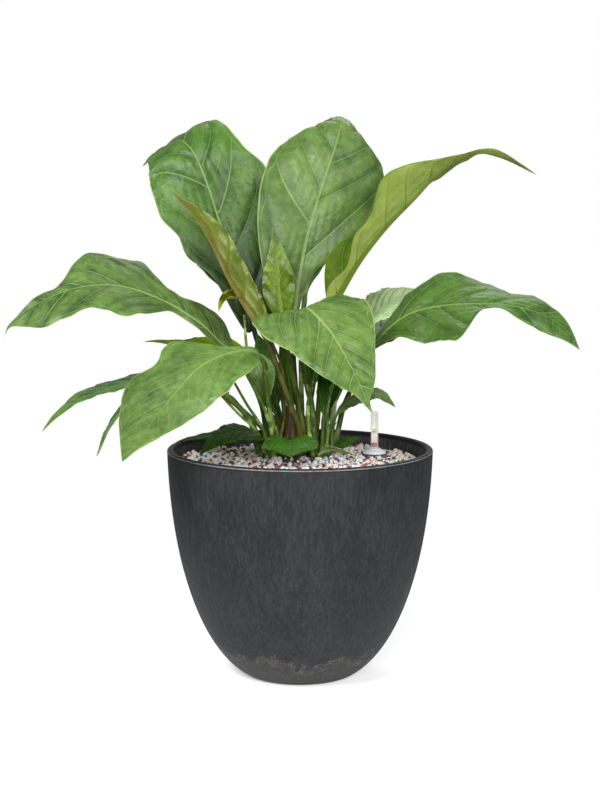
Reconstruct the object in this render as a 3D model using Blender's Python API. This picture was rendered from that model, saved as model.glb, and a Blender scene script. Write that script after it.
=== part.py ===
"""Potted anthurium: a leafy anthurium in a tapering round pot of mineral granulate, with a float gauge for the water.

One named object for each piece. Metres, +Z up, origin at the centre of the pot's foot, front towards -Y.
Sizes are named in millimetres and turned into metres when a mesh is made.
"""

import math
from dataclasses import dataclass

import bmesh
import bpy
import numpy as np
from mathutils import Vector

MM = 0.001
GAP = 0.3  # clearance between pieces that touch

# Pot: a turned shell whose outer side runs from the rim down to a narrow flat foot.
POT_HEIGHT = 285.0
RIM_RADIUS = 165.0
RIM_ROUND = 3.0
WALL = 8.0
FLOOR = 10.0
FOOT_RADIUS = 66.0
BELLY_HIGH = (161.0, 133.0)  # handles of the outer side's curve: radius, height
BELLY_LOW = (121.0, 28.0)
POT_SIDES = 48
WALL_POINTS = 9

# Fill: granulate up to a level below the rim, with a pocket for the plant's root ball.
FILL_LEVEL = 264.0
FILL_EDGE = 0.8  # how much wider the wall is at the level than at the nearest point of its curve below
ROOT_CENTRE = (0.0, 12.0)
ROOT_RADIUS_TOP = 66.0
ROOT_RADIUS_LOW = 50.0
ROOT_DEPTH = 120.0
ROOT_SIDES = 32

# Crowns: the short domed stocks that the leaf stalks spring from. Centres are x, y.
CROWNS = {"left": (-21.0, 2.0), "right": (21.0, -2.0), "back": (1.0, 35.0)}
CROWN_RADIUS = 17.0
CROWN_SIDES = 20
CROWN_RINGS = 5

# Water gauge: a slotted sleeve in the granulate, a collar on top of it and a clear window above.
GAUGE_AT = (95.0, 62.0)
SLEEVE_RADIUS = 10.0
SLEEVE_WALL = 1.5
SLEEVE_LOW = 105.0
SLEEVE_TOP = 266.0
SLOT_WIDTH = 4.0
SLOT_HEIGHT = 60.0
SLOT_RISE = 5.0  # from the sleeve's floor to its slots
COLLAR_RADIUS = 15.5
COLLAR_RING = 3.0
COLLAR_TOP = 275.0
WINDOW_RADIUS = 5.5
WINDOW_WALL = 1.0
WINDOW_TOP = 323.0
FLOAT_TRAVEL = 40.0
FLOAT_RADIUS = 7.0
FLOAT_HEIGHT = 30.0
ROD_RADIUS = 1.2
MARKER_RADIUS = 3.6
MARKER_HEIGHT = 5.0
COLLAR_SHOULDER = (10.5, 2.5)  # the dome's bend: radius, and depth below its top
COLLAR_MOUTH = 7.0
WINDOW_LIP = 2.2  # how far the window's foot flange stands above the sleeve
WINDOW_CROWN = 3.5  # radius of the flat on the window's rounded top
EDGE = 2.0  # bevel of the window's top and the float's ends
GAUGE_SIDES = 20

# Leaves.
BLADE_HALF_THICK = 0.55
THIN_SHARE = 0.3  # most that half the thickness takes of a narrow half's width
STALK_STATIONS = 6
CURVE_POINTS = 300
BLADE_START = 0.035  # share of the blade's length where the stalk begins to flatten
BLADE_FULL = 0.09  # and where it is all blade
TIP_END = 0.985  # the last full ring of a blade, just short of its tip
RIB_TAPER = 0.85  # share of the midrib's radius that is gone at the tip
SEAT_RISE = 8.0  # length of stalk that stands square on the crown
ACROSS = (-1.0, -0.5, 0.0, 0.5, 1.0)


@dataclass
class Leaf:
    """One leaf: a stalk from a crown, and a blade along a midrib. Lengths are in millimetres, angles in degrees.

    Lists that run along the blade are evenly spaced from its base to its tip. The right half is the one on the
    right hand of someone who looks at the upper side with the tip away from them.
    """

    name: str
    crown: str
    seat: tuple  # where on the crown's dome the stalk starts: round from +X, and up
    stalk: list  # points between the crown and the blade
    rib: list  # points of the midrib
    left: tuple  # half-widths between the base and the tip, both of which are points
    right: tuple
    face: list  # directions that the upper side faces
    fold: tuple = (12, 12)  # how far the left half rises from the midrib
    fold_right: tuple = None  # the same for the right half, where it differs
    curl: tuple = (-20, -20)  # how much further it turns out to the margin
    curl_right: tuple = None
    wave: tuple = (0, 2, 0)  # ripple of the left margin: height, number of waves, phase
    wave_right: tuple = None
    stalk_radius: tuple = (3.6, 2.8)
    stations: int = 11
    material: str = "leaf"


LEAVES = [
    Leaf("leaf_top_centre", "back", (275, 50),
         [(-4, 18, 345), (-8, 20, 400)],
         [(-8, 24, 430), (0, 28, 500), (11, 33, 552), (31, 44, 618), (46, 56, 658), (56, 78, 690), (56, 116, 698),
          (48, 150, 680)],
         (38, 58, 72, 80, 78, 60, 32), (26, 46, 70, 79, 72, 50, 28),
         [(0.3, -1, 0.2), (0.3, -1, 0.3), (0.2, -0.7, 0.6), (0.1, 0, 1)],
         fold=(15, 10, -5, -15), curl=(-10, -15, -40, -40)),
    Leaf("leaf_top_left", "back", (215, 52),
         [(-31, 50, 338), (-50, 60, 395)],
         [(-58, 65, 425), (-76, 72, 476), (-98, 86, 547), (-117, 98, 606), (-130, 106, 638), (-148, 130, 664),
          (-166, 170, 662), (-192, 205, 640)],
         (22, 40, 58, 70, 76, 64, 34), (35, 55, 72, 78, 70, 58, 38),
         [(0.2, -1, 0.3), (0.1, -1, 0.5), (-0.4, -0.6, 0.8), (-0.5, 0, 1)],
         fold=(15, 12, 5), curl=(-10, -20, -30), wave=(5, 2.5, 0)),
    Leaf("leaf_high_right", "back", (325, 52),
         [(24, 26, 345), (26, 22, 400)],
         [(30, 19, 440), (48, 15, 471), (73, 13, 514), (107, 13, 558), (142, 14, 594), (169, 14, 623),
          (188, 12, 638), (218, 6, 649), (243, 2, 644), (268, -4, 633), (288, -10, 622)],
         (24, 30, 36, 44, 42, 30, 14), (13, 12, 28, 50, 34, 14, 9),
         [(-0.6, 0.1, 0.6), (-0.5, 0, 0.8), (-0.3, 0, 1), (0, -0.1, 1)],
         fold=(70, 60, -5, -12, 0), fold_right=(65, 65, 70, 50, 20), curl=(0, 0), curl_right=(10, 10),
         wave=(5, 2.5, 0), material="leaf_new"),
    Leaf("leaf_right", "right", (2, 50),
         [(56, 9, 340), (73, 2, 378)],
         [(81, -2, 396), (99, -9, 423), (118, -15, 442), (136, -22, 454), (168, -32, 463), (203, -45, 467),
          (235, -58, 468), (263, -70, 465), (292, -82, 456), (315, -93, 441), (331, -105, 418)],
         (26, 48, 62, 58, 42, 34, 20), (30, 46, 50, 40, 28, 30, 20),
         [(-0.2, -0.4, 1), (0, -0.6, 1), (0, -0.6, 1), (0.4, -0.6, 1)],
         fold=(25, 8, 5), fold_right=(15, 0, 0), wave=(9, 2, 190), wave_right=(11, 1.8, 75)),
    Leaf("leaf_front", "right", (262, 64),
         [(14, -18, 345), (2, -26, 400)],
         [(-2, -32, 438), (7, -58, 463), (19, -78, 456), (35, -95, 440), (54, -122, 411), (72, -152, 377),
          (81, -172, 356), (87, -178, 346)],
         (42, 58, 62, 52, 38, 25, 12), (58, 64, 58, 50, 40, 28, 13),
         [(0, -0.2, 1), (0, -0.7, 1), (0.2, -1, 0.8), (0.3, -1, 0.5)], fold=(10, 10), curl=(-25, -15)),
    Leaf("leaf_left", "left", (180, 56),
         [(-48, -2, 340), (-64, -6, 380)],
         [(-72, -9, 396), (-98, -14, 417), (-120, -20, 440), (-144, -24, 457), (-178, -30, 475), (-222, -41, 489),
          (-264, -53, 488), (-311, -66, 471), (-335, -72, 456), (-349, -75, 443), (-354, -76, 430)],
         (14, 10, 38, 60, 52, 54, 28), (24, 16, 50, 58, 60, 30, 14),
         [(0.2, -0.5, 1), (0, -0.6, 1), (-0.1, -0.7, 1), (-0.4, -0.9, 0.6)],
         wave=(5, 3, 0), wave_right=(6, 3.5, 60), stations=14),
    Leaf("leaf_front_left", "left", (232, 52),
         [(-36, -26, 325), (-42, -36, 370)],
         [(-44, -42, 396), (-60, -55, 410), (-90, -75, 409), (-119, -95, 396), (-153, -122, 361), (-185, -160, 322),
          (-204, -190, 298)],
         (32, 45, 46, 40, 33, 24, 13), (22, 40, 44, 52, 58, 48, 26),
         [(0, -0.5, 1), (-0.2, -0.8, 1), (-0.4, -0.8, 0.7)], fold=(5, 5), curl=(-15, -15)),
    Leaf("leaf_far_left", "left", (178, 22),
         [(-64, 8, 320), (-95, 16, 350)],
         [(-110, 22, 360), (-140, 24, 371), (-174, 20, 374), (-211, 10, 366), (-241, 0, 357), (-271, -10, 347),
          (-298, -20, 329), (-317, -30, 309)],
         (14, 22, 30, 36, 34, 26, 14), (14, 22, 30, 36, 34, 26, 14),
         [(0, -0.05, 1), (-0.2, -0.1, 1), (-0.6, -0.15, 1)]),
    Leaf("leaf_left_sliver", "left", (150, 28),
         [(-66, 34, 320), (-120, 50, 356)],
         [(-150, 44, 366), (-187, 20, 352), (-217, 0, 334), (-237, -10, 312), (-253, -20, 281)],
         (12, 17, 18, 15, 9), (12, 17, 18, 15, 9), [(0, 0.1, 1), (-0.6, 0, 1)], stations=9),
    Leaf("leaf_middle_left", "back", (190, 30),
         [(-38, 40, 330), (-44, 42, 378)],
         [(-52, 43, 394), (-80, 46, 407), (-107, 50, 413), (-138, 50, 419), (-164, 50, 421), (-195, 50, 417)],
         (16, 30, 34, 30, 16), (16, 28, 30, 26, 14), [(0, -0.15, 1), (0, -0.05, 1), (0, 0, 1)],
         material="leaf_new", stations=9),
    Leaf("leaf_low_left", "left", (205, 18),
         [(-44, -10, 286)],
         [(-48, -16, 296), (-62, -34, 309), (-86, -58, 312), (-106, -78, 304), (-121, -92, 290)],
         (22, 34, 36, 28, 16), (22, 34, 36, 28, 16), [(0, -0.5, 1), (-0.5, -0.6, 0.8)], fold=(15, 15),
         stalk_radius=(2.8, 2.2), stations=8, material="leaf_dark"),
    Leaf("leaf_rim_left", "left", (120, 18),
         [(-50, 42, 284)],
         [(-60, 48, 293), (-92, 58, 304), (-120, 58, 303), (-137, 55, 297), (-148, 52, 291)],
         (12, 18, 16, 11, 6), (12, 18, 16, 11, 6), [(0, -0.2, 1), (-0.5, -0.2, 1)],
         stalk_radius=(2.4, 1.8), stations=8, material="leaf_dark"),
    Leaf("leaf_crown_front", "left", (285, 16),
         [(-13, -26, 283)],
         [(-12, -32, 291), (-12, -45, 300), (-12, -62, 298), (-12, -80, 286)],
         (26, 32, 26), (26, 32, 26), [(0, -0.3, 1), (0, -0.9, 1)], fold=(30, 25), curl=(-20, -20),
         stalk_radius=(2.4, 1.8), stations=7, material="leaf_dark"),
    Leaf("leaf_low_right", "right", (10, 16),
         [(44, 4, 277)],
         [(48, 4, 281), (66, 2, 291), (86, -2, 299)],
         (12, 17, 12), (12, 17, 12), [(-0.2, -0.6, 1), (0, -0.5, 1)], stalk_radius=(2.4, 1.6), stations=6,
         material="leaf_dark"),
    Leaf("leaf_low_right_pale", "right", (322, 16),
         [(44, -20, 275)],
         [(48, -24, 279), (64, -34, 286), (84, -46, 281)],
         (9, 13, 9), (9, 13, 9), [(0, 0.7, 1), (0, 0.4, 1)], stalk_radius=(2.2, 1.6), stations=6,
         material="leaf_new"),
    Leaf("leaf_middle_right", "right", (328, 42),
         [(40, -14, 305)],
         [(43, -16, 325), (57, -21, 342), (76, -26, 352), (96, -29, 356), (117, -40, 341)],
         (14, 22, 24, 14), (12, 18, 20, 12), [(-0.3, -0.5, 1), (0.2, -0.2, 1)], stalk_radius=(2.8, 2.0),
         stations=8, material="leaf_dark"),
    Leaf("leaf_behind_right", "right", (48, 48),
         [(50, 38, 350), (68, 62, 395)],
         [(76, 68, 412), (98, 78, 440), (128, 90, 462), (162, 104, 474)],
         (34, 52, 50, 30), (30, 44, 44, 28), [(-0.5, 0, 1), (0, -0.4, 1)], material="leaf_new", stations=9),
    Leaf("leaf_inner_right", "right", (285, 36),
         [(28, -24, 300)],
         [(29, -22, 325), (32, -20, 345), (41, -26, 375), (55, -38, 400), (72, -52, 410)],
         (14, 24, 26, 16), (14, 24, 26, 16), [(-0.7, -0.5, 0.5), (-0.3, -0.3, 1)], fold=(40, 20),
         stalk_radius=(2.8, 2.2), stations=8, material="leaf_dark"),
    Leaf("leaf_inner_left", "left", (270, 40),
         [(-30, -16, 322), (-46, -4, 375)],
         [(-51, -2, 392), (-47, -10, 398), (-39, -20, 384), (-33, -23, 358), (-32, -21, 336)],
         (14, 18, 12), (14, 18, 12), [(0, -0.3, 1), (-0.6, -0.6, 0.4)], stalk_radius=(2.4, 1.8), stations=7,
         material="leaf_dark"),
    Leaf("leaf_back_high", "back", (85, 50),
         [(4, 70, 360), (8, 95, 430)],
         [(12, 105, 460), (24, 140, 520), (34, 185, 556), (40, 230, 556), (44, 268, 530), (46, 292, 492)],
         (40, 58, 64, 60, 48, 32, 16), (40, 58, 64, 60, 48, 32, 16), [(0, -0.6, 1), (0, 0, 1), (0, 0.6, 1)],
         wave=(4, 2.5, 0), wave_right=(4, 2, 90)),
    Leaf("leaf_back_left", "back", (130, 46),
         [(-24, 72, 350), (-42, 96, 420)],
         [(-52, 104, 450), (-80, 135, 506), (-102, 175, 545), (-119, 218, 552), (-132, 258, 530), (-141, 286, 492)],
         (34, 50, 54, 50, 42, 29, 15), (34, 50, 54, 50, 42, 29, 15), [(0, -0.6, 1), (-0.2, 0, 1), (-0.3, 0.6, 1)],
         wave=(4, 2, 0), wave_right=(5, 2.5, 90)),
    Leaf("leaf_back_low", "back", (80, 18),
         [(8, 76, 300), (14, 98, 335)],
         [(17, 106, 350), (32, 132, 382), (48, 162, 398), (62, 195, 394), (74, 225, 370)],
         (26, 42, 46, 40, 22), (26, 42, 46, 40, 22), [(0, -0.4, 1), (0.1, 0.3, 1)], stations=9),
    Leaf("leaf_back_low_left", "back", (150, 20),
         [(-48, 66, 300), (-78, 78, 326)],
         [(-88, 82, 336), (-115, 95, 350), (-145, 112, 352), (-175, 128, 338), (-198, 140, 312)],
         (20, 34, 36, 30, 17), (20, 34, 36, 30, 17), [(0, -0.3, 1), (-0.3, 0.2, 1)], stations=9),
    Leaf("leaf_back_right", "right", (85, 36),
         [(38, 60, 320), (64, 92, 370)],
         [(74, 102, 386), (100, 128, 412), (126, 156, 426), (152, 184, 420), (172, 210, 398)],
         (24, 40, 42, 36, 20), (24, 40, 42, 36, 20), [(-0.2, -0.3, 1), (0.3, 0.3, 1)], stations=9),
    Leaf("young_leaf_bronze", "left", (315, 60),
         [(0, -30, 305), (-12, -40, 344), (-26, -47, 387)],
         [(-38, -48, 420), (-56, -42, 452), (-79, -32, 494), (-103, -22, 541), (-128, -15, 575), (-155, -10, 600)],
         (22, 30, 30, 24, 12), (20, 26, 26, 20, 10), [(0.85, 0, 0.5), (0.85, 0.1, 0.5)], fold=(75, 70),
         curl=(0, 0), stalk_radius=(3.8, 3.0), material="leaf_bronze"),
    Leaf("young_leaf_upright", "right", (200, 66),
         [(-2, -4, 345), (-14, -10, 400)],
         [(-20, -12, 440), (-26, -11, 482), (-27, -10, 505), (-29, -5, 530), (-34, 0, 560)],
         (14, 20, 19, 13, 6), (14, 20, 19, 13, 6), [(0, -1, 0), (0, -1, 0)], fold=(20, 20),
         material="leaf_young", stations=9),
    Leaf("young_leaf_curled", "left", (225, 80),
         [(-20, -4, 330), (-27, 2, 390)],
         [(-43, -6, 430), (-62, -20, 462), (-77, -27, 478), (-90, -34, 476), (-97, -38, 462)],
         (5, 7, 7, 6), (5, 7, 7, 6), [(0.3, -0.6, 1), (-0.5, -0.5, 1)], fold=(50, 50), curl=(30, 30),
         stalk_radius=(2.0, 1.4), stations=8, material="leaf_young"),
]


def curve_through(points, count):
    """count points, evenly spaced along a smooth curve through the given ones, and the unit tangents there."""
    p = np.array(points, float)
    step = np.linalg.norm(np.diff(p, axis=0), axis=1)
    secant = np.diff(p, axis=0) / step[:, None]
    slope = np.empty_like(p)
    slope[0], slope[-1] = secant[0], secant[-1]
    before, after = step[:-1, None], step[1:, None]
    slope[1:-1] = (after * secant[:-1] + before * secant[1:]) / (before + after)
    at = np.concatenate([[0], np.cumsum(step)])
    u = np.linspace(0, at[-1], 2 * count)
    i = np.clip(np.searchsorted(at, u, side="right") - 1, 0, len(step) - 1)
    h = step[i, None]
    x = (u - at[i])[:, None] / h
    dense = ((1 + 2 * x) * (1 - x) ** 2 * p[i] + x * (1 - x) ** 2 * h * slope[i]
             + x * x * (3 - 2 * x) * p[i + 1] + x * x * (x - 1) * h * slope[i + 1])
    run = np.concatenate([[0], np.cumsum(np.linalg.norm(np.diff(dense, axis=0), axis=1))])
    even = np.linspace(0, run[-1], count)
    line = np.stack([np.interp(even, run, dense[:, k]) for k in range(3)], 1)
    tangent = np.gradient(line, axis=0)
    return line, tangent / np.linalg.norm(tangent, axis=1)[:, None]


def along(values, t):
    """Values given at evenly spaced places from 0 to 1, read at t on smooth curves through them."""
    values = np.array(values, float)
    if len(values) == 2:
        slope = np.array([values[1] - values[0]] * 2)
    else:
        slope = np.gradient(values, axis=0)
    place = np.clip(t, 0, 1) * (len(values) - 1)
    i = np.minimum(place.astype(int), len(values) - 2)
    x = place - i
    if values.ndim > 1:
        x = x[:, None]
    return ((1 + 2 * x) * (1 - x) ** 2 * values[i] + x * (1 - x) ** 2 * slope[i]
            + x * x * (3 - 2 * x) * values[i + 1] + x * x * (x - 1) * slope[i + 1])


def blade_points(leaf, s, t, line, side, up):
    """Points of the blade's middle surface at s, from -1 at the left margin to 1 at the right, and the normals."""
    right = s > 0
    fold = leaf.fold_right if right and leaf.fold_right else leaf.fold
    curl = leaf.curl_right if right and leaf.curl_right else leaf.curl
    height, number, phase = leaf.wave_right if right and leaf.wave_right else leaf.wave
    half_width = along((0, *(leaf.right if right else leaf.left), 0), t)
    reach = np.maximum(half_width, 0.01) * abs(s)
    start = np.radians(along(fold, t))
    turn = np.radians(along(curl, t)) * abs(s) + 1e-6
    out = reach / turn * (np.sin(start + turn) - np.sin(start))
    rise = reach / turn * (np.cos(start) - np.cos(start + turn))
    rise = rise + height * s * s * np.sin(2 * math.pi * number * t + math.radians(phase)) * np.sin(math.pi * t)
    sign = 1 if right else -1
    middle = line + sign * out[:, None] * side + rise[:, None] * up
    lean = (start + turn)[:, None]
    return middle, np.cos(lean) * up - sign * np.sin(lean) * side


def seat_points(leaf):
    """The first two points of a stalk, standing square on its crown's dome."""
    turn, lift = (math.radians(angle) for angle in leaf.seat)
    way = np.array([math.cos(turn) * math.cos(lift), math.sin(turn) * math.cos(lift), math.sin(lift)])
    centre = np.array([*CROWNS[leaf.crown], FILL_LEVEL + GAP])
    return [centre + way * (CROWN_RADIUS + GAP), centre + way * (CROWN_RADIUS + SEAT_RISE)]


def leaf_rings(leaf):
    """Rings of eight points round the whole leaf, from the stalk's foot to just short of the tip, and the tip."""
    line, tangent = curve_through(seat_points(leaf) + leaf.stalk + leaf.rib, CURVE_POINTS)
    base = int(np.argmin(np.linalg.norm(line - np.array(leaf.rib[0], float), axis=1)))
    last = len(line) - 1
    blade_at = np.concatenate([[0, BLADE_START], np.linspace(BLADE_FULL, TIP_END, leaf.stations)])
    picked = np.concatenate([np.linspace(0, base, STALK_STATIONS, endpoint=False), base + (last - base) * blade_at])
    picked = picked.astype(int)
    line_at, tangent_at = line[picked], tangent[picked]
    t = np.clip((picked - base) / (last - base), 0, 1)
    face = along(leaf.face, t)
    up = face - np.sum(face * tangent_at, axis=1)[:, None] * tangent_at
    up /= np.linalg.norm(up, axis=1)[:, None]
    side = np.cross(tangent_at, up)
    foot, neck = leaf.stalk_radius
    radius = np.where(picked < base, foot + (neck - foot) * picked / base, neck * (1 - RIB_TAPER * t))[:, None]
    rows = [blade_points(leaf, s, t, line_at, side, up) for s in ACROSS]
    # Steeply folded halves come close together, so the blade is thinner where it is narrow, and its upper sides
    # meet further out from the midrib.
    steep = np.radians((along(leaf.fold, t) + along(leaf.fold_right or leaf.fold, t)) / 2)[:, None]
    narrow = np.minimum(*(along((0, *half, 0), t) for half in (leaf.left, leaf.right)))[:, None]
    thick = np.minimum(BLADE_HALF_THICK, THIN_SHARE * np.maximum(narrow, 0.1) * np.cos(steep))
    top = [middle + normal * thick for middle, normal in rows[1:4]]
    under = [middle - normal * thick for middle, normal in rows[1:4]]
    top[1] = line_at + up * thick / np.cos(steep)
    under[1] = line_at - up * (thick + radius / 2)
    blade = np.stack([rows[0][0], *top, rows[4][0], *under[::-1]], 1)
    turn = np.radians(np.arange(180, -180, -45))
    spoke = np.cos(turn)[None, :, None] * side[:, None, :] + np.sin(turn)[None, :, None] * up[:, None, :]
    stalk = line_at[:, None, :] + radius[:, None, :] * spoke
    x = np.clip(t / BLADE_FULL, 0, 1)
    share = (x * x * (3 - 2 * x))[:, None, None]
    return stalk * (1 - share) + blade * share, line[-1]


MATERIALS = {  # colour, roughness, and how far the light passes where it is clear
    "pot": ((0.058, 0.059, 0.060), 0.75, 0),
    "granulate": ((0.45, 0.36, 0.32), 0.9, 0),
    "soil": ((0.035, 0.022, 0.015), 0.95, 0),
    "crown": ((0.12, 0.09, 0.04), 0.8, 0),
    "leaf": ((0.085, 0.19, 0.035), 0.4, 0),
    "leaf_dark": ((0.035, 0.10, 0.02), 0.4, 0),
    "leaf_new": ((0.18, 0.26, 0.05), 0.45, 0),
    "leaf_young": ((0.24, 0.36, 0.03), 0.4, 0),
    "leaf_bronze": ((0.22, 0.20, 0.04), 0.4, 0),
    "clear_plastic": ((0.85, 0.85, 0.87), 0.1, 0.9),
    "dark_plastic": ((0.05, 0.04, 0.06), 0.4, 0),
    "white_plastic": ((0.75, 0.75, 0.74), 0.5, 0),
    "red_plastic": ((0.5, 0.02, 0.01), 0.4, 0),
}


def material(name):
    made = bpy.data.materials.get(name)
    if made:
        return made
    colour, roughness, clear = MATERIALS[name]
    made = bpy.data.materials.new(name)
    made.use_nodes = True
    shader = made.node_tree.nodes["Principled BSDF"]
    shader.inputs["Base Color"].default_value = (*colour, 1)
    shader.inputs["Roughness"].default_value = roughness
    shader.inputs["Metallic"].default_value = 0
    shader.inputs["Transmission Weight"].default_value = clear
    made.diffuse_color = (*colour, 1)
    return made


def add_object(name, mesh, material_name, at=(0, 0, 0), sharp=35):
    mesh.shade_smooth()
    mesh.set_sharp_from_angle(angle=math.radians(sharp))
    mesh.materials.append(material(material_name))
    made = bpy.data.objects.new(name, mesh)
    made.location = Vector(at) * MM
    bpy.context.collection.objects.link(made)
    return made


def make_mesh(name, points, faces):
    """A closed mesh from points in millimetres, with its faces turned outwards."""
    mesh = bpy.data.meshes.new(name)
    mesh.from_pydata([tuple(float(c) * MM for c in p) for p in points], [], faces)
    shape = bmesh.new()
    shape.from_mesh(mesh)
    bmesh.ops.recalc_face_normals(shape, faces=shape.faces)
    shape.to_mesh(mesh)
    shape.free()
    return mesh


def turned_mesh(name, profile, sides):
    """A solid of revolution about Z. The profile is a closed outline of (radius, height); radius 0 is the axis."""
    points, rings = [], []
    for radius, height in profile:
        if radius == 0:
            rings.append([len(points)] * sides)
            points.append((0, 0, height))
            continue
        rings.append(list(range(len(points), len(points) + sides)))
        for k in range(sides):
            turn = 2 * math.pi * k / sides
            points.append((radius * math.cos(turn), radius * math.sin(turn), height))
    faces = []
    for here, after in zip(rings, rings[1:] + rings[:1]):
        for k in range(sides):
            corner = [here[k], here[(k + 1) % sides], after[(k + 1) % sides], after[k]]
            corner = list(dict.fromkeys(corner))
            if len(corner) > 2:
                faces.append(corner)
    return make_mesh(name, points, faces)


def arc(centre, radius, start, end, count):
    """Points of an arc in a profile, from one angle to another in degrees."""
    angles = np.radians(np.linspace(start, end, count))
    return [(centre[0] + radius * math.cos(a), centre[1] + radius * math.sin(a)) for a in angles]


def cut(target, cutter):
    """Take the cutter's shape out of the target, and put the cutter out of sight."""
    change = target.modifiers.new("cut_" + cutter.name, "BOOLEAN")
    change.operation = "DIFFERENCE"
    change.solver = "EXACT"
    change.object = cutter
    cutter.hide_render = True
    cutter.display_type = "WIRE"


def wall_curve(inset, low, count):
    """Points down the pot's side, set in by a distance, from the rim's height to a given height."""
    corners = [(RIM_RADIUS, POT_HEIGHT), BELLY_HIGH, BELLY_LOW, (FOOT_RADIUS, 0)]
    t = np.linspace(0, 1, 400)[:, None]
    p = [np.array(corner) for corner in corners]
    side = (1 - t) ** 3 * p[0] + 3 * t * (1 - t) ** 2 * p[1] + 3 * t * t * (1 - t) * p[2] + t ** 3 * p[3]
    along_side = np.gradient(side, axis=0)
    across = np.stack([along_side[:, 1], -along_side[:, 0]], 1) / np.linalg.norm(along_side, axis=1)[:, None]
    side = side + across * inset
    side = side[side[:, 1] >= low]
    picked = np.linspace(0, len(side) - 1, count).astype(int)
    return [tuple(side[k]) for k in picked]


def make_pot():
    outer = wall_curve(0, 0, WALL_POINTS)
    inner = wall_curve(WALL, FLOOR, WALL_POINTS)
    top = POT_HEIGHT - RIM_ROUND
    outer_round = arc((RIM_RADIUS - RIM_ROUND, top), RIM_ROUND, 90, 0, 3)
    inner_round = arc((RIM_RADIUS - WALL + RIM_ROUND, top), RIM_ROUND, 180, 90, 3)
    profile = outer_round + outer[1:] + [(0, 0), (0, FLOOR)] + inner[:0:-1] + inner_round
    add_object("pot", turned_mesh("pot", profile, POT_SIDES), "pot")


def root_profile(grow):
    """The root ball's outline, made larger all round by a distance."""
    low = FILL_LEVEL - ROOT_DEPTH
    return [(0, FILL_LEVEL + grow), (ROOT_RADIUS_TOP + grow, FILL_LEVEL + grow), (ROOT_RADIUS_LOW + grow, low - grow),
            (0, low - grow)]


def make_fill():
    side = wall_curve(WALL + GAP, FLOOR + GAP, WALL_POINTS)
    side = [(radius, height) for radius, height in side if height < FILL_LEVEL]
    profile = [(0, FILL_LEVEL), (side[0][0] + FILL_EDGE, FILL_LEVEL), *side, (0, side[-1][1])]
    fill = add_object("granulate", turned_mesh("granulate", profile, POT_SIDES), "granulate")
    pocket = add_object("root_pocket", turned_mesh("root_pocket", root_profile(GAP), ROOT_SIDES), "soil",
                        (*ROOT_CENTRE, 0))
    cut(fill, pocket)
    bore_profile = [(0, FILL_LEVEL + 10), (SLEEVE_RADIUS + GAP, FILL_LEVEL + 10),
                    (SLEEVE_RADIUS + GAP, SLEEVE_LOW - GAP), (0, SLEEVE_LOW - GAP)]
    bore = add_object("gauge_bore", turned_mesh("gauge_bore", bore_profile, GAUGE_SIDES), "soil", (*GAUGE_AT, 0))
    cut(fill, bore)


def make_root_ball():
    add_object("root_ball", turned_mesh("root_ball", root_profile(0), ROOT_SIDES), "soil", (*ROOT_CENTRE, 0))


def make_crowns():
    for name, centre in CROWNS.items():
        dome = [(radius, height) for radius, height in arc((0, 0), CROWN_RADIUS, 0, 90, CROWN_RINGS)][:-1]
        profile = [(0, 0), *dome, (0, CROWN_RADIUS)]
        add_object("crown_" + name, turned_mesh("crown_" + name, profile, CROWN_SIDES), "crown",
                   (*centre, FILL_LEVEL + GAP), sharp=60)


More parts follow.
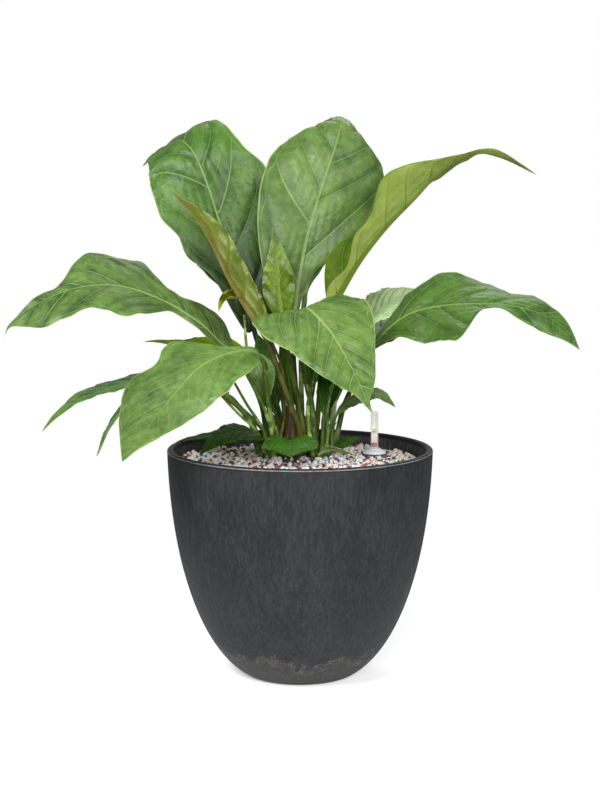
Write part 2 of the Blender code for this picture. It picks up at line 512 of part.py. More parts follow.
def make_gauge():
    def gauge_piece(name, profile, material_name):
        return add_object(name, turned_mesh(name, profile, GAUGE_SIDES), material_name, (*GAUGE_AT, 0))

    inside = SLEEVE_RADIUS - SLEEVE_WALL
    floor = SLEEVE_LOW + SLEEVE_WALL
    sleeve = gauge_piece("gauge_sleeve", [
        (0, SLEEVE_LOW), (SLEEVE_RADIUS, SLEEVE_LOW), (SLEEVE_RADIUS, SLEEVE_TOP), (inside, SLEEVE_TOP),
        (inside, floor), (0, floor)], "white_plastic")
    for number, turn in enumerate((0, 90)):
        slot = bmesh.new()
        bmesh.ops.create_cube(slot, size=1)
        mesh = bpy.data.meshes.new("slot")
        bmesh.ops.scale(slot, verts=slot.verts, vec=Vector((4 * SLEEVE_RADIUS, SLOT_WIDTH, SLOT_HEIGHT)) * MM)
        slot.to_mesh(mesh)
        slot.free()
        cutter = add_object(f"slot_{number}", mesh, "white_plastic", (*GAUGE_AT, floor + SLOT_RISE + SLOT_HEIGHT / 2))
        cutter.rotation_euler.z = math.radians(turn)
        cut(sleeve, cutter)

    ring_low = FILL_LEVEL + GAP
    ring_top = ring_low + COLLAR_RING
    gauge_piece("gauge_ring", [
        (SLEEVE_RADIUS + GAP, ring_low), (COLLAR_RADIUS, ring_low), (COLLAR_RADIUS, ring_top),
        (SLEEVE_RADIUS + GAP, ring_top)], "dark_plastic")
    seat = ring_top + GAP
    shoulder, drop = COLLAR_SHOULDER
    dome = [(COLLAR_RADIUS - 0.5, seat), (COLLAR_RADIUS - 1.5, seat + COLLAR_RING), (shoulder, COLLAR_TOP - drop),
            (COLLAR_MOUTH, COLLAR_TOP)]
    lip = SLEEVE_TOP + WINDOW_LIP
    gauge_piece("gauge_collar", [
        *dome, (WINDOW_RADIUS + GAP, COLLAR_TOP), (WINDOW_RADIUS + GAP, lip + GAP), (SLEEVE_RADIUS, lip + GAP),
        (SLEEVE_RADIUS, seat)], "clear_plastic")
    bore = WINDOW_RADIUS - WINDOW_WALL
    gauge_piece("gauge_window", [
        (0, WINDOW_TOP), (WINDOW_CROWN, WINDOW_TOP), (WINDOW_RADIUS, WINDOW_TOP - EDGE), (WINDOW_RADIUS, lip),
        (SLEEVE_RADIUS - GAP, lip), (SLEEVE_RADIUS - GAP, SLEEVE_TOP + GAP), (bore, SLEEVE_TOP + GAP),
        (bore, WINDOW_TOP - WINDOW_WALL), (0, WINDOW_TOP - WINDOW_WALL)], "clear_plastic")

    marker_low = WINDOW_TOP - WINDOW_WALL - GAP - FLOAT_TRAVEL - MARKER_HEIGHT
    float_low = floor + GAP
    float_top = float_low + FLOAT_HEIGHT
    gauge_piece("gauge_float", [
        (0, float_low), (FLOAT_RADIUS - EDGE, float_low), (FLOAT_RADIUS, float_low + EDGE),
        (FLOAT_RADIUS, float_top - EDGE), (FLOAT_RADIUS - EDGE, float_top), (0, float_top)], "white_plastic")
    gauge_piece("gauge_rod", [
        (0, float_top + GAP), (ROD_RADIUS, float_top + GAP), (ROD_RADIUS, marker_low - GAP), (0, marker_low - GAP)],
        "white_plastic")
    gauge_piece("gauge_marker", [
        (0, marker_low), (MARKER_RADIUS, marker_low), (MARKER_RADIUS, marker_low + MARKER_HEIGHT),
        (0, marker_low + MARKER_HEIGHT)], "red_plastic")


def make_leaf(leaf):
    rings, tip = leaf_rings(leaf)
    count, around = rings.shape[:2]
    points = [tuple(p) for ring in rings for p in ring] + [tuple(tip)]
    faces = [list(range(around))]
    for k in range(count - 1):
        for j in range(around):
            here, after = k * around + j, k * around + (j + 1) % around
            # Both sides of the blade are split along the same diagonals, so that they never cross.
            if j < around // 2:
                faces += [[here, after, after + around], [here, after + around, here + around]]
            else:
                faces += [[here, after, here + around], [after, after + around, here + around]]
    end = (count - 1) * around
    faces += [[end + j, end + (j + 1) % around, len(points) - 1] for j in range(around)]
    add_object(leaf.name, make_mesh(leaf.name, points, faces), leaf.material, sharp=50)


def main():
    for old in list(bpy.data.objects):
        bpy.data.objects.remove(old)
    make_pot()
    make_fill()
    make_root_ball()
    make_crowns()
    make_gauge()
    for leaf in LEAVES:
        make_leaf(leaf)


main()
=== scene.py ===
"""Potted anthurium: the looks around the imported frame.

Sizes are in millimetres and turned into metres in the meshes. Only the studio's are in metres.
"""

import math
from dataclasses import dataclass
from functools import cache, reduce

import bmesh
import bpy
import numpy as np
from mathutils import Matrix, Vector


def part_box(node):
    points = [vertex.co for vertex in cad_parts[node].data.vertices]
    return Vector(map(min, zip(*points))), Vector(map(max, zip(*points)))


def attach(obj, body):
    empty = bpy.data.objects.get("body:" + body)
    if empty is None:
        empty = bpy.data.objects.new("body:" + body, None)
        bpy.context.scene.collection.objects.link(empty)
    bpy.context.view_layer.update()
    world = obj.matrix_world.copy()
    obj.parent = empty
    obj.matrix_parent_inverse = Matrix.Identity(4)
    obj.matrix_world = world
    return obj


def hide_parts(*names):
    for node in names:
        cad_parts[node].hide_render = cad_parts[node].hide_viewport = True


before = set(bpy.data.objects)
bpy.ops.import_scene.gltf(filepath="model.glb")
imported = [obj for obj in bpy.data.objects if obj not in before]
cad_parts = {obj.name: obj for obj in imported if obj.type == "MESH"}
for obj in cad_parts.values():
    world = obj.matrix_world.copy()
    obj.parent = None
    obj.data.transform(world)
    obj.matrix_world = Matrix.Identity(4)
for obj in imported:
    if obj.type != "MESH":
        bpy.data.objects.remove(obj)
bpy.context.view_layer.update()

MM = 0.001
GAP = 0.3  # between pieces that touch
FULL_TURN = 2 * math.pi

# The pot's and the plant's main sizes, as in the frame.
POT_HEIGHT = 285.0
RIM_RADIUS = 165.0
RIM_ROUND = 3.0
WALL = 8.0
FLOOR = 10.0
FOOT_RADIUS = 66.0
BELLY_HIGH = (161.0, 133.0)  # this point and the next draw the pot's side outwards, as radius and height
BELLY_LOW = (121.0, 28.0)
FILL_LEVEL = 264.0
CROWNS = {"left": (-21.0, 2.0), "right": (21.0, -2.0), "back": (1.0, 35.0)}
CROWN_RADIUS = 17.0
SEAT_RISE = 8.0  # how far above the dome a stalk's second point is
BLADE_HALF_THICK = 0.55
THIN_SHARE = 0.3  # half thickness of a narrow blade, as a share of its half-width
BLADE_FULL = 0.09  # share of the blade by which the round stalk has become a sheet
RIB_TAPER = 0.85  # share of the midrib's radius that is gone at the tip
GAUGE_LOW, GAUGE_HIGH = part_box("gauge_ring")
GAUGE_AT = ((GAUGE_LOW.x + GAUGE_HIGH.x) / 2 / MM, (GAUGE_LOW.y + GAUGE_HIGH.y) / 2 / MM)
GAUGE_RADIUS = (GAUGE_HIGH.x - GAUGE_LOW.x) / 2 / MM


@dataclass
class Leaf:
    """One leaf: a stalk from a crown, and a blade along a midrib, in millimetres and degrees.

    Lists along the blade are evenly spaced from its base to its tip. The right half is on the right hand of
    someone who sees the upper side with the tip away from them. What isn't given for it is as on the left.
    """

    name: str
    crown: str
    seat: tuple  # where on the crown's dome the stalk starts: round from +X, and up
    stalk: list  # points between the crown and the blade
    rib: list  # points of the midrib
    width: tuple  # half-widths between the base and the tip, both of which are points
    face: list  # directions that the upper side faces
    fold: tuple = (12, 12)  # how far the half rises from the midrib
    curl: tuple = (-20, -20)  # how much further it turns out to the margin
    wave: tuple = (0, 2, 0)  # ripple of the margin: height, number of waves, phase
    width_right: tuple = ()
    fold_right: tuple = ()
    curl_right: tuple = ()
    wave_right: tuple = ()
    stalk_radius: tuple = (3.6, 2.8)
    material: str = "leaf"

    def half(self, side):
        """The widths, fold, curl and wave of the left half, side -1, or the right half, side 1."""
        left = (self.width, self.fold, self.curl, self.wave)
        right = (self.width_right, self.fold_right, self.curl_right, self.wave_right)
        return left if side < 0 else [there or here for here, there in zip(left, right)]


def dark_leaf(*shape, **more):
    """A small dark leaf close to the crowns."""
    return Leaf(*shape, **{"stalk_radius": (2.4, 1.8), "material": "leaf_dark", **more})


LEAVES = [
    Leaf("leaf_top_centre", "back", (275, 50), [(-4, 18, 345), (-8, 20, 400)],
         [(-8, 24, 430), (0, 28, 500), (11, 33, 552), (31, 44, 618), (46, 56, 658), (56, 78, 690),
          (56, 116, 698), (48, 150, 680)],
         (38, 58, 72, 80, 78, 60, 32), [(0.3, -1, 0.2), (0.3, -1, 0.3), (0.2, -0.7, 0.6), (0.1, 0, 1)],
         width_right=(26, 46, 70, 79, 72, 50, 28), fold=(15, 10, -5, -15), curl=(-10, -15, -40, -40)),
    Leaf("leaf_top_left", "back", (215, 52), [(-31, 50, 338), (-50, 60, 395)],
         [(-58, 65, 425), (-76, 72, 476), (-98, 86, 547), (-117, 98, 606), (-130, 106, 638),
          (-148, 130, 664), (-166, 170, 662), (-192, 205, 640)],
         (22, 40, 58, 70, 76, 64, 34), [(0.2, -1, 0.3), (0.1, -1, 0.5), (-0.4, -0.6, 0.8), (-0.5, 0, 1)],
         width_right=(35, 55, 72, 78, 70, 58, 38), fold=(15, 12, 5), curl=(-10, -20, -30),
         wave=(5, 2.5, 0)),
    Leaf("leaf_high_right", "back", (325, 52), [(24, 26, 345), (26, 22, 400)],
         [(30, 19, 440), (48, 15, 471), (73, 13, 514), (107, 13, 558), (142, 14, 594), (169, 14, 623),
          (188, 12, 638), (218, 6, 649), (243, 2, 644), (268, -4, 633), (288, -10, 622)],
         (24, 30, 36, 44, 42, 30, 14), [(-0.6, 0.1, 0.6), (-0.5, 0, 0.8), (-0.3, 0, 1), (0, -0.1, 1)],
         width_right=(13, 12, 28, 50, 34, 14, 9), fold=(70, 60, -5, -12, 0),
         fold_right=(65, 65, 70, 50, 20), curl=(0, 0), curl_right=(10, 10), wave=(5, 2.5, 0),
         material="leaf_new"),
    Leaf("leaf_right", "right", (2, 50), [(56, 9, 340), (73, 2, 378)],
         [(81, -2, 396), (99, -9, 423), (118, -15, 442), (136, -22, 454), (168, -32, 463), (203, -45, 467),
          (235, -58, 468), (263, -70, 465), (292, -82, 456), (315, -93, 441), (331, -105, 418)],
         (26, 48, 62, 58, 42, 34, 20), [(-0.2, -0.4, 1), (0, -0.6, 1), (0, -0.6, 1), (0.4, -0.6, 1)],
         width_right=(30, 46, 50, 40, 28, 30, 20), fold=(25, 8, 5), fold_right=(15, 0, 0), wave=(9, 2, 190),
         wave_right=(11, 1.8, 75)),
    Leaf("leaf_front", "right", (262, 64), [(14, -18, 345), (2, -26, 400)],
         [(-2, -32, 438), (7, -58, 463), (19, -78, 456), (35, -95, 440), (54, -122, 411), (72, -152, 377),
          (81, -172, 356), (87, -178, 346)],
         (42, 58, 62, 52, 38, 25, 12), [(0, -0.2, 1), (0, -0.7, 1), (0.2, -1, 0.8), (0.3, -1, 0.5)],
         width_right=(58, 64, 58, 50, 40, 28, 13), fold=(10, 10), curl=(-25, -15)),
    Leaf("leaf_left", "left", (180, 56), [(-48, -2, 340), (-64, -6, 380)],
         [(-72, -9, 396), (-98, -14, 417), (-120, -20, 440), (-144, -24, 457), (-178, -30, 475),
          (-222, -41, 489), (-264, -53, 488), (-311, -66, 471), (-335, -72, 456), (-349, -75, 443),
          (-354, -76, 430)],
         (14, 10, 38, 60, 52, 54, 28), [(0.2, -0.5, 1), (0, -0.6, 1), (-0.1, -0.7, 1), (-0.4, -0.9, 0.6)],
         width_right=(24, 16, 50, 58, 60, 30, 14), wave=(5, 3, 0), wave_right=(6, 3.5, 60)),
    Leaf("leaf_front_left", "left", (232, 52), [(-36, -26, 325), (-42, -36, 370)],
         [(-44, -42, 396), (-60, -55, 410), (-90, -75, 409), (-119, -95, 396), (-153, -122, 361),
          (-185, -160, 322), (-204, -190, 298)],
         (32, 45, 46, 40, 33, 24, 13), [(0, -0.5, 1), (-0.2, -0.8, 1), (-0.4, -0.8, 0.7)],
         width_right=(22, 40, 44, 52, 58, 48, 26), fold=(5, 5), curl=(-15, -15)),
    Leaf("leaf_far_left", "left", (178, 22), [(-64, 8, 320), (-95, 16, 350)],
         [(-110, 22, 360), (-140, 24, 371), (-174, 20, 374), (-211, 10, 366), (-241, 0, 357),
          (-271, -10, 347), (-298, -20, 329), (-317, -30, 309)],
         (14, 22, 30, 36, 34, 26, 14), [(0, -0.05, 1), (-0.2, -0.1, 1), (-0.6, -0.15, 1)]),
    Leaf("leaf_left_sliver", "left", (150, 28), [(-66, 34, 320), (-120, 50, 356)],
         [(-150, 44, 366), (-187, 20, 352), (-217, 0, 334), (-237, -10, 312), (-253, -20, 281)],
         (12, 17, 18, 15, 9), [(0, 0.1, 1), (-0.6, 0, 1)]),
    Leaf("leaf_middle_left", "back", (190, 30), [(-38, 40, 330), (-44, 42, 378)],
         [(-52, 43, 394), (-80, 46, 407), (-107, 50, 413), (-138, 50, 419), (-164, 50, 421),
          (-195, 50, 417)],
         (16, 30, 34, 30, 16), [(0, -0.15, 1), (0, -0.05, 1), (0, 0, 1)], width_right=(16, 28, 30, 26, 14),
         material="leaf_new"),
    dark_leaf("leaf_low_left", "left", (205, 18), [(-44, -10, 286)],
              [(-48, -16, 296), (-62, -34, 309), (-86, -58, 312), (-106, -78, 304), (-121, -92, 290)],
              (22, 34, 36, 28, 16), [(0, -0.5, 1), (-0.5, -0.6, 0.8)], fold=(15, 15),
              stalk_radius=(2.8, 2.2)),
    dark_leaf("leaf_rim_left", "left", (120, 18), [(-50, 42, 284)],
              [(-60, 48, 293), (-92, 58, 304), (-120, 58, 303), (-137, 55, 297), (-148, 52, 291)],
              (12, 18, 16, 11, 6), [(0, -0.2, 1), (-0.5, -0.2, 1)]),
    dark_leaf("leaf_crown_front", "left", (285, 16), [(-13, -26, 283)],
              [(-12, -32, 291), (-12, -45, 300), (-12, -62, 298), (-12, -80, 286)],
              (26, 32, 26), [(0, -0.3, 1), (0, -0.9, 1)], fold=(30, 25), curl=(-20, -20)),
    dark_leaf("leaf_low_right", "right", (10, 16), [(44, 4, 277)],
              [(48, 4, 281), (66, 2, 291), (86, -2, 299)],
              (12, 17, 12), [(-0.2, -0.6, 1), (0, -0.5, 1)], stalk_radius=(2.4, 1.6)),
    Leaf("leaf_low_right_pale", "right", (322, 16), [(44, -20, 275)],
         [(48, -24, 279), (64, -34, 286), (84, -46, 281)],
         (9, 13, 9), [(0, 0.7, 1), (0, 0.4, 1)], stalk_radius=(2.2, 1.6), material="leaf_new"),
    dark_leaf("leaf_middle_right", "right", (328, 42), [(40, -14, 305)],
              [(43, -16, 325), (57, -21, 342), (76, -26, 352), (96, -29, 356), (117, -40, 341)],
              (14, 22, 24, 14), [(-0.3, -0.5, 1), (0.2, -0.2, 1)], width_right=(12, 18, 20, 12),
              stalk_radius=(2.8, 2.0)),
    Leaf("leaf_behind_right", "right", (48, 48), [(50, 38, 350), (68, 62, 395)],
         [(76, 68, 412), (98, 78, 440), (128, 90, 462), (162, 104, 474)],
         (34, 52, 50, 30), [(-0.5, 0, 1), (0, -0.4, 1)], width_right=(30, 44, 44, 28), material="leaf_new"),
    dark_leaf("leaf_inner_right", "right", (285, 36), [(28, -24, 300)],
              [(29, -22, 325), (32, -20, 345), (41, -26, 375), (55, -38, 400), (72, -52, 410)],
              (14, 24, 26, 16), [(-0.7, -0.5, 0.5), (-0.3, -0.3, 1)], fold=(40, 20),
              stalk_radius=(2.8, 2.2)),
    dark_leaf("leaf_inner_left", "left", (270, 40), [(-30, -16, 322), (-46, -4, 375)],
              [(-51, -2, 392), (-47, -10, 398), (-39, -20, 384), (-33, -23, 358), (-32, -21, 336)],
              (14, 18, 12), [(0, -0.3, 1), (-0.6, -0.6, 0.4)]),
    Leaf("leaf_back_high", "back", (85, 50), [(4, 70, 360), (8, 95, 430)],
         [(12, 105, 460), (24, 140, 520), (34, 185, 556), (40, 230, 556), (44, 268, 530), (46, 292, 492)],
         (40, 58, 64, 60, 48, 32, 16), [(0, -0.6, 1), (0, 0, 1), (0, 0.6, 1)], wave=(4, 2.5, 0),
         wave_right=(4, 2, 90)),
    Leaf("leaf_back_left", "back", (130, 46), [(-24, 72, 350), (-42, 96, 420)],
         [(-52, 104, 450), (-80, 135, 506), (-102, 175, 545), (-119, 218, 552), (-132, 258, 530),
          (-141, 286, 492)],
         (34, 50, 54, 50, 42, 29, 15), [(0, -0.6, 1), (-0.2, 0, 1), (-0.3, 0.6, 1)], wave=(4, 2, 0),
         wave_right=(5, 2.5, 90)),
    Leaf("leaf_back_low", "back", (80, 18), [(8, 76, 300), (14, 98, 335)],
         [(17, 106, 350), (32, 132, 382), (48, 162, 398), (62, 195, 394), (74, 225, 370)],
         (26, 42, 46, 40, 22), [(0, -0.4, 1), (0.1, 0.3, 1)]),
    Leaf("leaf_back_low_left", "back", (150, 20), [(-48, 66, 300), (-78, 78, 326)],
         [(-88, 82, 336), (-115, 95, 350), (-145, 112, 352), (-175, 128, 338), (-198, 140, 312)],
         (20, 34, 36, 30, 17), [(0, -0.3, 1), (-0.3, 0.2, 1)]),
    Leaf("leaf_back_right", "right", (85, 36), [(38, 60, 320), (64, 92, 370)],
         [(74, 102, 386), (100, 128, 412), (126, 156, 426), (152, 184, 420), (172, 210, 398)],
         (24, 40, 42, 36, 20), [(-0.2, -0.3, 1), (0.3, 0.3, 1)]),
    Leaf("young_leaf_bronze", "left", (315, 60), [(0, -30, 305), (-12, -40, 344), (-26, -47, 387)],
         [(-38, -48, 420), (-56, -42, 452), (-79, -32, 494), (-103, -22, 541), (-128, -15, 575),
          (-155, -10, 600)],
         (22, 30, 30, 24, 12), [(0.85, 0, 0.5), (0.85, 0.1, 0.5)], width_right=(20, 26, 26, 20, 10),
         fold=(75, 70), curl=(0, 0), stalk_radius=(3.8, 3.0), material="leaf_bronze"),
    Leaf("young_leaf_upright", "right", (200, 66), [(-2, -4, 345), (-14, -10, 400)],
         [(-20, -12, 440), (-26, -11, 482), (-27, -10, 505), (-29, -5, 530), (-34, 0, 560)],
         (14, 20, 19, 13, 6), [(0, -1, 0), (0, -1, 0)], fold=(20, 20), material="leaf_young"),
    Leaf("young_leaf_curled", "left", (225, 80), [(-20, -4, 330), (-27, 2, 390)],
         [(-43, -6, 430), (-62, -20, 462), (-77, -27, 478), (-90, -34, 476), (-97, -38, 462)],
         (5, 7, 7, 6), [(0.3, -0.6, 1), (-0.5, -0.5, 1)], fold=(50, 50), curl=(30, 30),
         stalk_radius=(2.0, 1.4), material="leaf_young"),
]


@dataclass
class Look:
    """How one leaf's surface is finished. Lengths are in millimetres.

    left and right say how far the margin stands out beyond the solid's plain outline, at places along the
    blade in percent.
    """

    tone: float = 0.5  # from deep green, 0, to bright yellow-green, 1
    veins: float = 6.5  # side veins on each half, if they ran the whole length
    relief: float = 1.4  # height of the quilting between the veins
    ripple: float = 1.4  # height of the small waves along the margin
    fine: bool = True  # a large leaf with many points
    left: dict = None
    right: dict = None
    tip: tuple = (0, 0, 0)  # how far the tip is bent aside
    tip_from: float = 0.6  # and where along the blade that starts
    bow: tuple = (0, 0, 0)  # how far the middle of the blade is bent aside
    shift: tuple = (0, 0, 0)  # how far the whole blade stands aside
    lobe: tuple = (0, 0, 0)  # how far the blade's base reaches back past the end of the stalk
    shade: tuple = (1.0, 1.0)  # painted light and shade on the leaf's colour, at its base and from its middle on
    finish: str = ""  # the leaf colours to use, where they aren't the solid's
    clear: float = 0.75  # how clearly the veins' colour stands out
    sweep: float = 1.05  # how far a side vein runs towards the tip while it runs outwards
    roll: tuple = (0, 0)  # degrees the blade is rolled about its midrib, at its base and at its tip
    rib: float = 1.0  # how much wider the midrib's colour is than its ridge


def small(tone, relief=0.9, ripple=0.8, **more):
    return Look(tone, 6.5, relief, ripple, False, **more)


# A leaf's shade is painted light and shade: below 1 it darkens the leaf's colour, above 1 it lightens it.
LOOKS = {
    "leaf_top_centre": Look(
        0.62, 6.5, 2.8, 1.2, tip=(-7, 0, -6), tip_from=0.5, shade=(0.68, 1.0), clear=0.6,
        left={30: 0, 40: -3, 50: -5, 60: -6, 70: -8, 80: -3, 90: 9, 95: 6},
        right={5: -5, 10: -15, 20: -23, 26: -16, 32: -8, 40: -5, 50: 0, 60: 6, 66: 12, 72: 10, 77: -3,
               82: -9, 90: -7}),
    "leaf_top_left": Look(
        0.62, 6.5, 3.4, 1.6, tip=(-16, 0, -10), tip_from=0.65, lobe=(14, 0, -34), shade=(0.18, 1.1),
        finish="leaf_deep", clear=0.85,
        left={10: 0, 20: -7, 25: -4, 31: 6, 39: -5, 46: 4, 52: -1, 60: -7, 70: -6, 80: 0, 90: 0},
        right={50: 0, 55: 1, 60: -11, 65: -10, 70: -8, 75: -2, 80: 4, 85: -8, 90: -20, 95: -10}),
    "leaf_high_right": Look(
        0.6, 8.0, 1.6, 1.0, clear=0.9, roll=(0, 7), rib=2.2,
        left={10: 0, 20: 13, 25: 14, 30: 4, 40: -12, 50: -20, 60: -16, 70: -8, 80: 0},
        right={10: 6, 20: -3, 25: 9, 30: 17, 35: 3, 40: -3, 50: -7, 55: -4, 60: -3, 65: -6, 70: -7, 76: -7,
               80: -4, 85: 2, 90: 3}),
    "leaf_right": Look(
        0.7, 7.0, 2.6, 1.2, shade=(0.75, 0.82), finish="leaf_deep",
        left={10: -7, 20: -14, 25: -10, 30: -14, 35: -2, 50: -1, 65: 3, 70: 1, 80: -8, 90: -9},
        right={10: -8, 20: -14, 25: -3, 35: 3, 40: 6, 45: 16, 50: 32, 53: 34, 55: -12, 60: -14, 70: -13,
               80: -9, 90: 1}),
    "leaf_front": Look(
        0.58, 6.5, 2.2, 1.0, tip=(-3, 0, 6), tip_from=0.65, lobe=(0, 12, 16), clear=0.6, sweep=1.3,
        left={3: 12, 10: 9, 20: 6, 30: 9, 36: 3, 40: 0, 50: -4, 60: -3, 80: -2, 90: -4},
        right={3: 14, 10: 14, 20: 9, 30: 9, 40: 3, 50: 5, 60: 4, 70: 1, 80: 0, 90: -4}),
    "leaf_left": Look(
        0.42, 7.5, 2.4, 1.2, shade=(0.6, 1.0), clear=0.85, sweep=1.3,
        left={10: -4, 20: 1, 25: -2, 30: -14, 35: -11, 40: -1, 50: 0, 60: -6, 65: -12, 70: -6, 80: -1,
              85: 10, 90: 2, 95: -9},
        right={5: 10, 10: 14, 15: 17, 20: 24, 25: 16, 29: -8, 36: -24, 40: -14, 45: 19, 50: 3, 55: -8,
               60: 2, 70: -16, 80: -9, 90: -10}),
    "leaf_front_left": Look(
        0.58, 6.5, 0.9, 0.8, lobe=(3, 6, 8), shade=(1.35, 0.95), clear=0.3, sweep=1.5,
        left={30: 1, 40: 10, 50: 11, 60: 11, 70: 8, 80: 3, 90: -2},
        right={5: -6, 10: -14, 15: -20, 20: -20, 25: -8, 30: 10, 35: 23, 40: 20, 45: 3, 50: 2, 55: 12,
               60: 8, 65: 4, 70: 0, 80: -3, 90: -3}),
    "leaf_far_left": Look(
        0.35, 7.0, 1.2, 1.0, shade=(1.7, 1.7), finish="leaf_deep",
        left={30: 0, 50: -4, 60: -9, 70: -8, 80: -3},
        right={50: 0, 60: 6, 70: 5, 80: 3, 90: 1}),
    "leaf_left_sliver": small(
        0.4, tip=(2, 0, -4), shade=(1.6, 1.6), finish="leaf_deep",
        right={40: 0, 50: 7, 80: 8, 90: 5}),
    "leaf_middle_left": small(
        0.8, tip=(-3, 0, 8), shift=(0, 0, -13), shade=(2.4, 2.2), roll=(-48, -12),
        left={50: -4, 70: -10, 85: -7},
        right={50: -6, 70: -12, 85: -8}),
    "leaf_low_left": small(
        0.3, 1.2, shade=(0.85, 0.85),
        right={20: -2, 30: -12, 50: -18, 70: -16, 80: -11, 90: -6}),
    "leaf_rim_left": small(0.3, tip=(-12, 0, -9), tip_from=0.2, bow=(0, 0, -10), shade=(0.7, 0.7)),
    "leaf_crown_front": small(
        0.5, 1.0, 1.0, tip=(0, 8, -1), tip_from=0.45, lobe=(0, 4, 9),
        left={20: -6, 40: -9, 60: -2, 80: 12, 90: 14},
        right={20: -6, 40: -9, 60: -2, 80: 12, 90: 14}),
    "leaf_low_right": small(
        0.5, tip=(3, 0, 2), shift=(-16, -4, -2), shade=(0.85, 0.85),
        left={30: -3, 50: -5, 80: -3},
        right={30: -3, 50: -5, 80: -3}),
    "leaf_low_right_pale": small(
        0.7, tip=(8, 0, 0), shift=(-24, 0, 2), shade=(1.3, 1.3), finish="leaf_painted_sheen"),
    "leaf_middle_right": small(0.75, shade=(1.0, 0.9), finish="leaf", left={20: -3, 40: -6, 80: -6}),
    "leaf_behind_right": Look(0.7, 7.0, 1.8, shift=(-8, 0, 0), shade=(1.7, 1.7), finish="leaf_painted_sheen"),
    "leaf_inner_right": small(0.5),
    "leaf_inner_left": small(0.5, shift=(-11, 0, 2), finish="leaf"),
    "leaf_back_high": Look(
        0.4, 7.0, 1.8, 2.0, shift=(-6, 0, 0),
        right={5: -14, 10: -28, 20: -36, 30: -28, 40: -12}),
    "leaf_back_left": Look(0.45, 7.0, 1.8, 2.0),
    "leaf_back_low": small(0.5, 1.3, 1.4),
    "leaf_back_low_left": small(0.4, 1.2, 1.2),
    "leaf_back_right": small(0.55, 1.3, 1.4),
    "young_leaf_bronze": Look(
        0.45, 5.0, 2.6, 2.2, bow=(-5, 0, -2), shade=(0.8, 0.9),
        left={10: -4, 30: -5, 50: -4, 70: 0}),
    "young_leaf_upright": Look(0.5, 6.0, 0.7, 0.8, shade=(0.75, 0.75)),
    "young_leaf_curled": small(
        0.6, 0.4, tip=(-8, 0, 4), tip_from=0.2, shift=(6, 0, -8), shade=(1.5, 1.5), finish="leaf_bronze",
        roll=(-30, -30),
        left={20: 5, 50: 8, 80: 6},
        right={20: 5, 50: 8, 80: 6}),
}

# Narrow inner blades and bare stalks that fill the middle of the plant. Only the looks have them.
INNER_BLADES = [
    dark_leaf("inner_blade_e", "back", (235, 44), [(-22, 24, 312)],
              [(-27, 26, 330), (-34, 30, 360), (-43, 36, 390), (-54, 42, 424)],
              (9, 13, 14, 10), [(-0.1, -1, 0.2), (-0.1, -1, 0.2)], fold=(15, 10)),
    dark_leaf("inner_blade_a", "back", (250, 40), [(-6, 14, 312)],
              [(-8, 12, 330), (-13, 8, 364), (-18, 6, 396), (-24, 6, 428)],
              (6, 9, 10, 6), [(0, -1, 0.2), (0.1, -1, 0.2)], fold=(25, 15), stalk_radius=(2.6, 2.0)),
    dark_leaf("inner_blade_b", "back", (290, 40), [(12, 16, 312)],
              [(13, 15, 330), (12, 12, 366), (9, 12, 398), (4, 12, 424)],
              (5, 8, 9, 5), [(-0.2, -1, 0.2), (0.2, -1, 0.2)], fold=(25, 15), stalk_radius=(2.6, 2.0)),
    dark_leaf("inner_blade_c", "back", (215, 30), [(-24, 22, 306)],
              [(-30, 20, 322), (-42, 16, 352), (-56, 14, 378), (-72, 14, 396)],
              (7, 11, 11, 7), [(0, -1, 0.4), (-0.2, -1, 0.6)], fold=(20, 10)),
    dark_leaf("inner_blade_d", "back", (320, 30), [(28, 20, 306)],
              [(31, 18, 322), (37, 14, 350), (42, 12, 376), (50, 12, 398)],
              (7, 11, 12, 7), [(0, -1, 0.3), (0.2, -1, 0.4)], fold=(20, 10)),
]
# The inner blades' shade: painted shade at their feet, painted light from their middles on.
INNER_LOOK = small(0.4, shade=(0.8, 1.1))
# Crown, where the stalk starts on its dome, its radius at foot and head, and the points it runs through.
BARE_STALKS = {
    "stalk_a": ("left", (208, 30), (2.2, 1.5), (-52, -16, 306), (-78, -28, 334), (-100, -38, 360)),
    "stalk_b": ("left", (218, 40), (2.2, 1.5), (-46, -20, 312), (-64, -32, 342), (-82, -44, 376)),
    "stalk_c": ("left", (240, 30), (2.6, 2.0),
                (-34, -24, 302), (-41, -31, 330), (-52, -36, 356), (-68, -44, 388)),
    "stalk_d": ("back", (200, 44), (2.4, 1.6),
                (-30, 34, 310), (-52, 40, 356), (-66, 42, 400), (-70, 48, 446)),
    "stalk_e": ("right", (250, 50), (3.0, 2.4),
                (12, -20, 304), (10, -18, 340), (17, -16, 372), (28, -14, 410)),
    "withered_stalk": ("left", (-40, 30), (6.5, 4.0), (-9, -9, 298), (-11, -10, 316), (-14, -10, 338)),
    "stalk_f": ("right", (300, 44), (2.6, 2.0), (34, -16, 304), (33, -10, 330), (40, 0, 362), (54, 12, 392)),
}
# What leaf_surface gives for a leaf's material to read, here for a stalk with no blade. Its shade, 1.7, is
# painted light.
BARE_FACTS = (0.5, 1, 0.5, 0.5, 9, 1, 0, 1, 0.5, 1.7, 1, 1)

